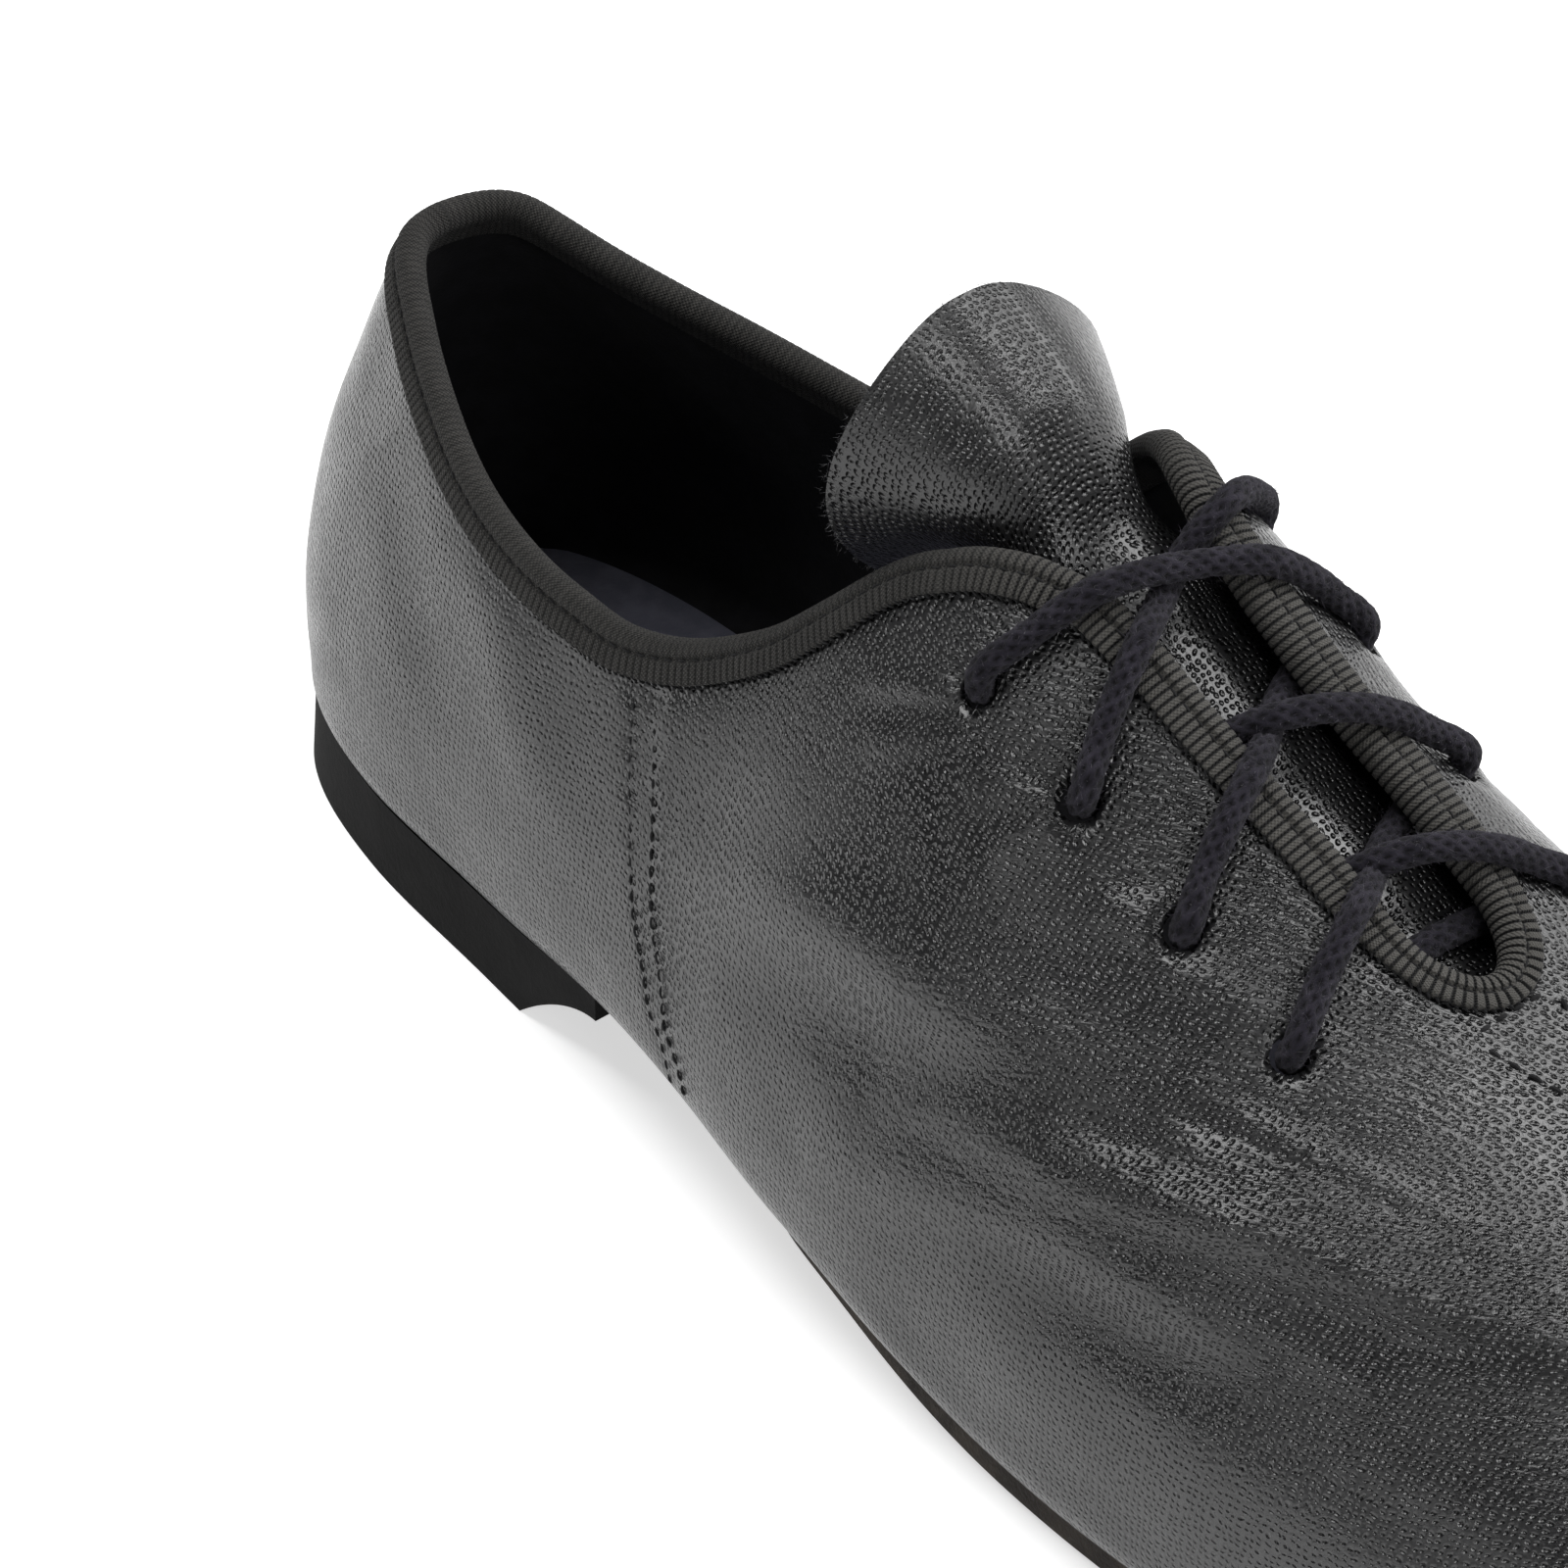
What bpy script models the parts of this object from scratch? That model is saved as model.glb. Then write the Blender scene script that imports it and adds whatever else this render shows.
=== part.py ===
"""Jazz shoe for the right foot, a low split-sole lace-up in black leather.

Everything grows from one function, last_point(): it gives any point of the upper's outside from a
turn along the foot (0 at the back of the heel, 180 at the tip of the toe) and a rise around the
section (-90 under the foot, 0 at the widest line, 90 on the crown). The other pieces lie a named
distance inside or outside of that surface.

Metres, +Z up, +X to the toe, -Y to the outside of the foot. The origin is on the floor under the
middle of the heel.
"""
import math

import bmesh
import bpy
import numpy as np

# Driving sizes
LENGTH = 0.250                 # back of the heel to the tip of the toe
BALL_WIDTH = 0.084             # across the ball of the foot
INSTEP_HEIGHT = 0.0848         # floor to the crown of the last at the top of the throat
COLLAR_HEIGHT = 0.0645         # floor to the top line at the back of the heel
HEEL_MIDDLE = 0.028            # back of the heel to the origin
HEEL_HEIGHT = 0.0089
SOLE_THICKNESS = 0.0030
TOE_SPRING = 0.0065            # how far the tip of the toe stands above the ball
SIDE_RISE = 0.0120             # underside of the upper to its widest line
HEEL_TUCK = 0.0006             # the back of the heel draws in by this much at the seat
HEEL_LEAN = 0.0125             # and leans forward by this much at the collar
UPPER_WALL = 0.0016
SEAT_GAP = 0.0003              # clearance between two pieces that touch
THROAT_HALF = 0.0068           # centre of the throat to its edge
THROAT_SHIFT = 0.0022          # how far its top lies to the outside of the crown
BINDING_WALL = 0.0009
BINDING_GAP = 0.0004           # clearance between the tape and the leather it is folded over
BINDING_DROP = 0.0030          # how far the tape reaches down each face of the leather
EYELET_RADIUS = 0.0019
EYELET_PITCH = 0.0142
EYELET_LAST = 0.0070           # end of the throat back to the last pair of lace holes
EYELET_OUTER = 0.0206          # crown to the outer row of holes
EYELET_INNER = 0.0162          # crown to the inner row of holes
EYELET_PAIRS = 4
LACE_RADIUS = 0.0014
INSOLE_THICKNESS = 0.0020
TONGUE_WALL = 0.0014
TONGUE_HALF = 0.0150           # half the tongue's width under the throat
TONGUE_BULGE = 0.0070          # how far its sides swell out above the collar
TONGUE_SWAY = 0.0055           # how far its crown leans to the outside of the foot
TONGUE_RAKE = 0.0050           # how far its sides lie behind its crown
TONGUE_TOP = 0.0990            # floor to the top of the tongue
TONGUE_LIFT = 87.5             # turn at which it leaves the last
TONGUE_SEAM = (107.0, 112.0, 117.0)  # turns between which it rises to the vamp, to which it is sewn
HEEL_BREAST = 0.0593           # back of the heel to the front edge of its flat
HEEL_RAMP = 0.0150             # length of the hollow ramp at the front of the heel
HEEL_TIP = 0.0007              # thickness of the ramp's tip
HEEL_FLARE = 0.0012            # how far the back of the heel spreads towards the floor

HEEL_SEAT = HEEL_HEIGHT + SEAT_GAP
BALL_SEAT = SOLE_THICKNESS + SEAT_GAP

# Sections of the last. turn is in degrees and places a section along the foot. outer, inner and
# crown_y are shares of BALL_WIDTH. pitch is a share of the drop from heel seat to ball seat, and
# spring a share of TOE_SPRING. side is a share of SIDE_RISE, crown a share of INSTEP_HEIGHT.
# top_out, top_in and edge are how square the section is above and below its widest line.
COLUMNS = ("turn", "outer", "inner", "crown_y", "pitch", "spring", "side", "crown",
           "top_out", "top_in", "edge")
SECTIONS = np.array([
    (0,   -.004, -.004, -.004, 1.00, 0.00, 0.83, 1.000, 2.00, 2.00, 6.0),
    (12,  -.116,  .131, -.004, 1.00, 0.00, 0.83, 0.960, 1.65, 1.77, 6.0),
    (25,  -.236,  .248, -.001, 1.00, 0.00, 0.83, 0.925, 1.52, 1.45, 7.0),
    (40,  -.316,  .314,  .003, 1.00, 0.00, 0.88, 0.905, 1.73, 1.47, 7.0),
    (55,  -.353,  .328,  .013, 1.00, 0.00, 0.92, 0.943, 1.86, 1.80, 6.5),
    (70,  -.403,  .335,  .026, 1.13, 0.00, 1.00, 0.972, 1.45, 2.09, 5.0),
    (85,  -.473,  .336,  .028, 0.63, 0.00, 1.04, 1.000, 1.62, 2.22, 4.5),
    (100, -.498,  .400,  .031, 0.02, 0.00, 1.00, 0.775, 1.84, 2.16, 7.0),
    (115, -.488,  .488,  .043, 0.00, 0.00, 0.92, 0.577, 2.08, 2.07, 7.5),
    (130, -.412,  .504,  .071, 0.00, 0.09, 0.83, 0.470, 2.19, 2.08, 7.0),
    (145, -.292,  .446,  .088, 0.00, 0.35, 0.80, 0.400, 2.15, 2.10, 6.0),
    (160, -.128,  .330,  .100, 0.00, 0.66, 0.75, 0.338, 2.05, 2.05, 4.5),
    (170, -.008,  .216,  .104, 0.00, 0.84, 0.71, 0.302, 2.00, 2.00, 3.0),
    (180,  .104,  .104,  .104, 0.00, 1.00, 0.67, 0.262, 2.00, 2.00, 2.6),
])

# The top line behind the throat: turn, and height as a share of COLLAR_HEIGHT
COLLAR = np.array([
    (0, 1.000), (18, .985), (36, .925), (54, .836), (60, .823), (65, .822),
    (69, .858), (73, .932), (77, 1.035), (82, 1.155), (86, 1.200), (92, 1.260),
])
# The edges of the throat: turn, and distance from its centre as a share of THROAT_HALF
THROAT = np.array([
    (72, 2.95), (77, 2.55), (82, 2.08), (86, 1.47), (89, 1.12), (92.5, 1.01), (97, 1.00), (111, 1.00),
])
THROAT_ROUND = 105.5           # turn where the end of the throat starts to round
THROAT_END = 110.1             # turn of the end of the throat
THROAT_SWING = (78, 88, 90, 104)  # turns at which its shift starts, is full, fades and ends
COLLAR_BLEND = (74.0, 84.0)    # turns between which the collar's rule gives way to the throat's

# Where the underside is open: turns at which each opening starts, is full, narrows and ends
HEEL_OPENING = (18.0, 24.0, 52.0, 59.0)
SOLE_OPENING = (84.0, 90.0, 158.0, 165.0)
MARGIN_RISE = -60.0            # rise at which the lasting margin ends

STATIONS = np.concatenate([
    np.linspace(0, 60, 13), np.linspace(64.5, 103.5, 13), (106.3, 108.2, 109.4, THROAT_END),
    np.linspace(114.5, 180, 13),
])
LOWER_RISES = np.array([-53.0, -46.0, -41.0, -30.0, -15.0, 0.0])
UPPER_SHARES = np.array([0.18, 0.36, 0.53, 0.68, 0.80, 0.89, 0.95, 1.0])
INSOLE_EDGE, SOLE_EDGE, HEEL_EDGE = LOWER_RISES[:3]


def spline(x, xs, ys):
    """Smooth curve through a table's points: cubic pieces with matching slopes."""
    x = np.asarray(x, float)
    slopes = np.gradient(ys, xs)
    i = np.clip(np.searchsorted(xs, x, side="right") - 1, 0, len(xs) - 2)
    h = xs[i + 1] - xs[i]
    t = (x - xs[i]) / h
    return ((1 + 2 * t) * (1 - t) ** 2 * ys[i] + t * (1 - t) ** 2 * h * slopes[i]
            + t * t * (3 - 2 * t) * ys[i + 1] + t * t * (t - 1) * h * slopes[i + 1])


def ramp(x, start, end):
    """0 before start, 1 after end, smooth between."""
    t = np.clip((np.asarray(x, float) - start) / (end - start), 0, 1)
    return t * t * (3 - 2 * t)


def column(turn, name):
    return spline(turn, SECTIONS[:, 0], SECTIONS[:, COLUMNS.index(name)])


def section(turn, side):
    """Half a section: crown y, edge y, widest height, crown height, underside height, squareness."""
    crown_y = column(turn, "crown_y") * BALL_WIDTH
    outer = column(turn, "outer") * BALL_WIDTH
    inner = column(turn, "inner") * BALL_WIDTH
    edge_y = outer if side < 0 else inner
    under = (BALL_SEAT + column(turn, "pitch") * (HEEL_SEAT - BALL_SEAT)
             + column(turn, "spring") * TOE_SPRING)
    widest = under + column(turn, "side") * SIDE_RISE
    crown = column(turn, "crown") * INSTEP_HEIGHT
    square = column(turn, "top_out" if side < 0 else "top_in")
    return crown_y, edge_y, (outer + inner) / 2, under, widest, crown, square


def last_point(turn, rise, side):
    """A point of the upper's outside. Each half section is two quarters of a superellipse."""
    turn, rise = np.broadcast_arrays(np.asarray(turn, float), np.asarray(rise, float))
    crown_y, edge_y, middle_y, under, widest, crown, square = section(turn, side)
    above = rise >= 0
    power = np.where(above, square, column(turn, "edge"))
    cos, sin = np.cos(np.radians(rise)), np.sin(np.radians(rise))
    radius = (np.abs(cos) ** power + np.abs(sin) ** power) ** (-1 / power)
    centre_y = np.where(above, crown_y, middle_y)
    y = centre_y + (edge_y - centre_y) * radius * cos
    z = widest + np.where(above, crown - widest, widest - under) * radius * sin
    share = (z - HEEL_SEAT) / (COLLAR_HEIGHT - HEEL_SEAT)
    lean = (HEEL_TUCK * np.clip(1 - share / 0.35, 0, 1) ** 2
            + HEEL_LEAN * np.clip((share - 0.3) / 0.7, 0, None) ** 1.7)
    fade = np.cos(np.radians(np.clip(turn * 90 / 80, 0, 90))) ** 2
    x = LENGTH / 2 * (1 - np.cos(np.radians(turn))) + lean * fade - HEEL_MIDDLE
    return np.stack([x, y, z], -1)


def slopes_at(turn, rise, side):
    """How the surface runs per degree of turn and of rise."""
    turn, rise = np.asarray(turn, float), np.asarray(rise, float)
    along = last_point(turn + .2, rise, side) - last_point(turn - .2, rise, side)
    around = last_point(turn, rise + .3, side) - last_point(turn, rise - .3, side)
    return along / .4, around / .6


def normal_at(turn, rise, side):
    along, around = slopes_at(np.clip(turn, 0.2, 179.8), rise, side)
    normal = np.cross(along, around) * -side
    return normal / np.linalg.norm(normal, axis=-1, keepdims=True)


def skin(turn, rise, side, depth):
    """A point at a depth inside the upper's outside, or outside of it where depth is negative."""
    return last_point(turn, rise, side) - normal_at(turn, rise, side) * np.asarray(depth)[..., None]


def rise_at_height(turn, side, height):
    _, _, _, _, widest, crown, square = section(turn, side)
    up = np.clip((height - widest) / (crown - widest), 0, 1)
    out = (1 - up ** square) ** (1 / square)
    return np.degrees(np.arctan2(up, out))


def rise_at_gap(turn, side, gap):
    """The rise at which the surface lies a given distance from the crown, to the side."""
    crown_y, edge_y, _, _, _, _, square = section(turn, side)
    out = np.clip(gap / np.maximum(np.abs(edge_y - crown_y), 1e-9), 0, 1)
    up = (1 - out ** square) ** (1 / square)
    return np.degrees(np.arctan2(up, out))


def turn_at(distance):
    """The turn at a distance from the back of the heel."""
    return np.degrees(np.arccos(1 - 2 * np.asarray(distance, float) / LENGTH))


def throat_half(turn):
    share = np.clip((turn - THROAT_ROUND) / (THROAT_END - THROAT_ROUND), 0, 1)
    return THROAT_HALF * np.interp(turn, THROAT[:, 0], THROAT[:, 1]) * np.sqrt(1 - share ** 2)


def throat_shift(turn):
    start, full, fade, end = THROAT_SWING
    return THROAT_SHIFT * (ramp(turn, start, full) - ramp(turn, fade, end))


def top_rise(turn, side):
    """The rise of the top line: by height round the collar, by gap along the throat."""
    turn = np.asarray(turn, float)
    height = COLLAR_HEIGHT * spline(np.clip(turn, 0, COLLAR[-1, 0]), COLLAR[:, 0], COLLAR[:, 1])
    by_height = rise_at_height(turn, side, height)
    by_gap = rise_at_gap(turn, side, throat_half(turn) - side * throat_shift(turn))
    blend = ramp(turn, *COLLAR_BLEND)
    return np.where(turn >= THROAT_END, 90.0, by_height * (1 - blend) + by_gap * blend)


def bottom_rise(turn):
    """The rise of the lasting margin's edge: -90 where the leather runs on under the foot."""
    opened = sum(ramp(turn, a, b) - ramp(turn, c, d) for a, b, c, d in (HEEL_OPENING, SOLE_OPENING))
    return -90 + opened * (MARGIN_RISE + 90)


def make_material(name, colour, roughness):
    material = bpy.data.materials.new(name)
    material.use_nodes = True
    shader = material.node_tree.nodes["Principled BSDF"]
    shader.inputs["Base Color"].default_value = (*colour, 1)
    shader.inputs["Roughness"].default_value = roughness
    shader.inputs["Metallic"].default_value = 0
    return material


def add_object(name, points, faces, material, collection, solid=True):
    """A mesh object from an array of points, its doubles merged. A solid's faces turn outwards."""
    mesh = bpy.data.meshes.new(name)
    mesh.from_pydata(np.asarray(points).reshape(-1, 3).tolist(), [], faces)
    bm = bmesh.new()
    bm.from_mesh(mesh)
    bmesh.ops.remove_doubles(bm, verts=bm.verts, dist=1e-6)
    if solid:
        bmesh.ops.recalc_face_normals(bm, faces=bm.faces)
    bm.to_mesh(mesh)
    bm.free()
    mesh.shade_smooth()
    mesh.set_sharp_from_angle(angle=math.radians(40))
    item = bpy.data.objects.new(name, mesh)
    if material:
        mesh.materials.append(material)
    collection.objects.link(item)
    return item


def grid_faces(rows, cols, first=0, closed=False, flip=False):
    """Quads over a grid of points, with the last row joined to the first where it is closed."""
    faces = []
    for i in range(rows if closed else rows - 1):
        a, b = first + i * cols, first + ((i + 1) % rows) * cols
        if flip:
            a, b = b, a
        faces += [(a + j, a + j + 1, b + j + 1, b + j) for j in range(cols - 1)]
    return faces


def slab(name, top, bottom, material, collection):
    """A closed solid between two grids of the same size, with a wall round their edge."""
    rows, cols = top.shape[:2]
    below = rows * cols
    faces = grid_faces(rows, cols) + grid_faces(rows, cols, below)
    rim = ([(0, j) for j in range(cols)] + [(i, cols - 1) for i in range(1, rows)]
           + [(rows - 1, j) for j in range(cols - 2, -1, -1)] + [(i, 0) for i in range(rows - 2, 0, -1)])
    loop = [i * cols + j for i, j in rim]
    faces += [(a, b, b + below, a + below) for a, b in zip(loop, loop[1:] + loop[:1])]
    return add_object(name, np.concatenate([top.reshape(-1, 3), bottom.reshape(-1, 3)]),
                      faces, material, collection)


def stations_between(first, last):
    """The upper's own stations in a range, so that the facets of two pieces run side by side."""
    return STATIONS[(STATIONS >= first) & (STATIONS <= last)]


def across(turns, edge, depth, tuck=0.0):
    """A grid over the underside, from the outer edge through the middle to the inner edge.

    Its columns follow the upper's own rises. tuck draws the edge in, for a rounded end.
    """
    margin = bottom_rise(turns)
    rises = [r + 0 * margin for r in LOWER_RISES[::-1] if r <= edge]
    rises += [(margin + LOWER_RISES[0]) / 2, MARGIN_RISE + (margin - MARGIN_RISE) * 2 / 3, -90 + 0 * margin]
    rises = np.column_stack(rises)
    rises = -90 + (rises + 90) * (1 - np.broadcast_to(tuck, margin.shape)[:, None])
    depth = np.broadcast_to(depth, margin.shape)[:, None]
    outer, inner = (skin(turns[:, None], rises, side, depth) for side in (-1, 1))
    middle = (outer[:, -1:] + inner[:, -1:]) / 2
    return np.concatenate([outer[:, :-1], middle, inner[:, -2::-1]], axis=1)


def build_upper(material, parts, cutters):
    """The leather shell: a grid over each half of the last, then its wall and its lace holes."""
    points, faces = [], []
    for side in (-1, 1):
        bottom, top = bottom_rise(STATIONS), top_rise(STATIONS, side)
        lower = np.column_stack([bottom, (bottom + LOWER_RISES[0]) / 2,
                                 *[0 * bottom + r for r in LOWER_RISES]])
        rises = np.column_stack([lower, top[:, None] * UPPER_SHARES])
        grid = last_point(STATIONS[:, None], rises, side)
        faces += grid_faces(*rises.shape, first=len(points), flip=side < 0)
        points += grid.reshape(-1, 3).tolist()
    upper = add_object("upper", points, faces, material, parts, solid=False)
    wall = upper.modifiers.new("wall", "SOLIDIFY")
    wall.thickness = UPPER_WALL
    wall.offset = -1
    wall.use_even_offset = True
    cutter = add_object("eyelet_cutter", *eyelet_pins(), None, cutters)
    cutter.hide_render = True
    cutter.display_type = "WIRE"
    holes = upper.modifiers.new("lace_holes", "BOOLEAN")
    holes.operation = "DIFFERENCE"
    holes.object = cutter
    return upper


def eyelet_distance(pair):
    """Back of the heel to a pair of lace holes, counted from the top of the throat."""
    throat_end = LENGTH / 2 * (1 - math.cos(math.radians(THROAT_END)))
    return throat_end - EYELET_LAST - (EYELET_PAIRS - 1 - pair) * EYELET_PITCH


def eyelet(pair, side):
    """Turn and rise of a lace hole."""
    turn = turn_at(eyelet_distance(pair))
    return turn, rise_at_gap(turn, side, EYELET_OUTER if side < 0 else EYELET_INNER)


def eyelet_pins(sides=12):
    """Closed pins through the wall at every lace hole, along the surface's normal."""
    angles = np.arange(sides) * 2 * math.pi / sides
    points, faces = [], []
    for side in (-1, 1):
        for pair in range(EYELET_PAIRS):
            turn, rise = eyelet(pair, side)
            normal = normal_at(turn, rise, side)
            across_pin = np.cross(normal, (1, 0, 0))
            across_pin /= np.linalg.norm(across_pin)
            other = np.cross(normal, across_pin)
            ring = EYELET_RADIUS * (np.cos(angles)[:, None] * across_pin + np.sin(angles)[:, None] * other)
            centre = skin(turn, rise, side, UPPER_WALL / 2)
            first = len(points)
            for end in (-3 * UPPER_WALL, 3 * UPPER_WALL):
                points += (centre + normal * end + ring).tolist()
            faces += [(first + i, first + (i + 1) % sides, first + sides + (i + 1) % sides, first + sides + i)
                      for i in range(sides)]
            faces += [tuple(range(first, first + sides)), tuple(range(first + sides, first + 2 * sides))]
    return points, faces


def build_binding(material, parts):
    """The tape: legs on both faces of the leather and a roll over its edge, all along the top line."""
    turns = STATIONS[STATIONS < THROAT_END]
    drops = np.array([1.0, 0.5, 0.0]) * BINDING_DROP
    turning = np.radians([0, 45, 90, 135, 180])
    radius = UPPER_WALL / 2 + BINDING_GAP
    halves = []
    for side in (-1, 1):
        t = np.append(turns, THROAT_END) if side < 0 else turns
        r = top_rise(t, side)
        line = last_point(t, r, side)
        run = np.gradient(line, axis=0)
        if side < 0:
            run[-1] = (0, 1, 0)
        run[0] = (0, side, 0)
        run /= np.linalg.norm(run, axis=1, keepdims=True)
        normal = normal_at(t, r, side)
        down = np.cross(normal, run) * side
        down /= np.linalg.norm(down, axis=1, keepdims=True)
        if side < 0:
            down[-1] = (1, 0, 0) - normal[-1] * normal[-1, 0]
        along, around = slopes_at(np.clip(t, .2, 179), r, side)
        a11, a12, a22 = ((along ** 2).sum(1), (along * around).sum(1), (around ** 2).sum(1))
        b1, b2 = (along * down).sum(1), (around * down).sum(1)
        det = a11 * a22 - a12 ** 2
        step_turn, step_rise = (a22 * b1 - a12 * b2) / det, (a11 * b2 - a12 * b1) / det
        step_turn[0] = 0
        legs = []
        for drop, depth in ([(d, -BINDING_GAP) for d in drops[:-1]]
                            + [(d, UPPER_WALL + BINDING_GAP) for d in drops[-2::-1]]):
            legs.append(skin(t + step_turn * drop, np.minimum(r + step_rise * drop, 90), side, depth))
        centre = line - normal * UPPER_WALL / 2
        roll = [centre + radius * (math.cos(a) * normal - math.sin(a) * down) for a in turning]
        rows = np.stack(legs[:2] + roll + legs[2:], axis=1)
        halves.append(rows if side < 0 else rows[::-1][:-1])
    grid = np.concatenate(halves)
    rows, cols = grid.shape[:2]
    faces = grid_faces(rows, cols, closed=True, flip=True)
    binding = add_object("collar_binding", grid, faces, material, parts, solid=False)
    wall = binding.modifiers.new("wall", "SOLIDIFY")
    wall.thickness = BINDING_WALL
    wall.offset = 1
    wall.use_even_offset = True
    return binding


def build_tongue(material, parts):
    """Under the vamp it lies along the last; behind the throat it stands up as an arch."""
    turns = np.array([119, 116, 113, 110, 106.5, 103, 99, 95, 91.5, 88.5, 86, 83.4, 80.8, 78.0])
    shares = np.linspace(-1, 1, 15)
    middle = len(shares) // 2
    clear = UPPER_WALL + BINDING_WALL + 3 * SEAT_GAP
    room, under_tape, seam = TONGUE_SEAM
    depth = (clear + 2 * LACE_RADIUS * ramp(turns, under_tape, room)
             - (clear - UPPER_WALL - SEAT_GAP) * ramp(turns, under_tape, seam))[:, None]
    free = ramp(turns, TONGUE_LIFT + 1, 82)[:, None]
    x = LENGTH / 2 * (1 - np.cos(np.radians(turns))) - HEEL_MIDDLE
    lift_x = LENGTH / 2 * (1 - math.cos(math.radians(TONGUE_LIFT))) - HEEL_MIDDLE
    climb = np.clip((lift_x - x) / (lift_x - x[-1]), 0, None)
    neck = throat_half(turns) - clear - TONGUE_WALL
    top_z = last_point(turns, top_rise(turns, -1), -1)[:, 2]
    middle_y = column(turns, "crown_y") * BALL_WIDTH - throat_shift(turns)
    angle = np.radians(90 * (1 - np.abs(shares)))
    power = 2.6
    reach = (np.cos(angle) ** power + np.sin(angle) ** power) ** (-1 / power)
    out, up = np.sign(shares) * reach * np.cos(angle), reach * np.sin(angle)
    bulge = TONGUE_BULGE * 4 * up * (1 - up)
    layers = []
    for extra in (0, TONGUE_WALL):
        outer, inner = (skin(turns[:, None] + 0 * shares,
                             rise_at_gap(turns[:, None], side, np.abs(shares) * TONGUE_HALF), side,
                             depth + extra) for side in (-1, 1))
        lying = np.where(shares[None, :, None] < 0, outer, inner)
        lift_z = np.interp(TONGUE_LIFT, turns[::-1], lying[::-1, middle, 2])
        crown_z = lift_z + (TONGUE_TOP - extra - lift_z) * climb ** 0.95
        foot_z = top_z - BINDING_DROP
        arch = np.stack([
            x[:, None] - TONGUE_RAKE * (1 - up) * climb[:, None],
            middle_y[:, None] - TONGUE_SWAY * up * climb[:, None] ** 2
            + out * (neck[:, None] + bulge * climb[:, None] ** 2 - extra),
            foot_z[:, None] + (crown_z - foot_z)[:, None] * up], -1)
        layers.append(lying * (1 - free[..., None]) + arch * free[..., None])
    return slab("tongue", layers[0], layers[1], material, parts)


def build_insole(material, parts):
    """A sheet over the inside of the bottom."""
    turns = stations_between(14, 168)
    tuck = 0.3 * ramp(turns, 26, 14) + 0.3 * ramp(turns, 155, 168)
    depth = UPPER_WALL + SEAT_GAP
    return slab("insole", across(turns, INSOLE_EDGE, depth + INSOLE_THICKNESS, tuck),
                across(turns, INSOLE_EDGE, depth, tuck), material, parts)


def build_forefoot_sole(material, parts):
    """A patch that follows the underside from the waist to the toe, flat on the floor at the ball."""
    turns = stations_between(76, 170)
    tuck = 0.2 * ramp(turns, 160, 170) + 0.08 * ramp(turns, 84, 77)
    thick = SOLE_THICKNESS * (0.45 + 0.55 * ramp(turns, 76, 86))
    top = across(turns, SOLE_EDGE, -SEAT_GAP, tuck)
    bottom = top.copy()
    bottom[..., 2] = np.maximum(top[..., 2] - thick[:, None], 0)
    return slab("forefoot_sole", top, bottom, material, parts)


def build_heel(material, parts):
    """A low block that cups the seat, with a hollow ramp at its front."""
    breast = float(turn_at(HEEL_BREAST))
    front = float(turn_at(HEEL_BREAST + HEEL_RAMP))
    turns = np.concatenate([(2.5,), stations_between(4, breast), np.linspace(breast, front, 5)])
    tuck = 0.08 * ramp(turns, 12, 2)
    top = across(turns, HEEL_EDGE, -SEAT_GAP, tuck)
    distance = LENGTH / 2 * (1 - np.cos(np.radians(turns)))[:, None]
    share = np.clip((distance - HEEL_BREAST) / HEEL_RAMP, 0, 1)
    hollow = HEEL_HEIGHT * (1 - (1 - share) ** 1.6)
    bottom = across(turns, HEEL_EDGE, -SEAT_GAP - HEEL_FLARE * ramp(turns, 45, 15), tuck)
    bottom[..., 2] = np.minimum(hollow, top[..., 2] - HEEL_TIP)
    return slab("heel", top, bottom, material, parts)


def lace_run(start, end, samples=9, sides=8):
    """A tube over the tape and the throat, from one lace hole to another, clear of both.

    start and end give the distance from the back of the heel and, signed, from the crown.
    """
    height = LACE_RADIUS + BINDING_WALL + 3 * SEAT_GAP
    share = np.linspace(0, 1, samples)
    distance, gap = (a * (1 - share) + b * share for a, b in zip(start, end))
    turn = turn_at(distance)
    outer, inner = (skin(turn, rise_at_gap(turn, side, np.abs(gap)), side, -height) for side in (-1, 1))
    path = np.where(gap[:, None] < 0, outer, inner)
    run = np.gradient(path, axis=0)
    run /= np.linalg.norm(run, axis=1, keepdims=True)
    sideways = np.cross(run, (0, 0, 1))
    sideways /= np.linalg.norm(sideways, axis=1, keepdims=True)
    upward = np.cross(sideways, run)
    angles = np.arange(sides) * 2 * math.pi / sides
    ring = [math.cos(a) * sideways + math.sin(a) * upward for a in np.append(angles, 0)]
    points = path[:, None] + LACE_RADIUS * np.stack(ring, axis=1)
    faces = grid_faces(samples, sides + 1)
    faces += [tuple(range(sides)), tuple(range((samples - 1) * (sides + 1), samples * (sides + 1) - 1))]
    return points, faces


def build_lace_crossing(number, material, parts, cutters):
    """Two runs of lace between neighbouring pairs of holes, joined where they cross."""
    lower, upper = eyelet_distance(number), eyelet_distance(number - 1)
    shift = LACE_RADIUS + SEAT_GAP
    runs = [lace_run((lower - shift, -EYELET_OUTER), (upper + shift, EYELET_INNER)),
            lace_run((lower - shift, EYELET_INNER), (upper + shift, -EYELET_OUTER))]
    crossing = add_object(f"lace_cross_{number}", *runs[0], material, parts)
    other = add_object(f"lace_other_{number}", *runs[1], None, cutters)
    other.hide_render = True
    other.display_type = "WIRE"
    join = crossing.modifiers.new("join", "BOOLEAN")
    join.operation = "UNION"
    join.object = other
    return crossing


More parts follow.
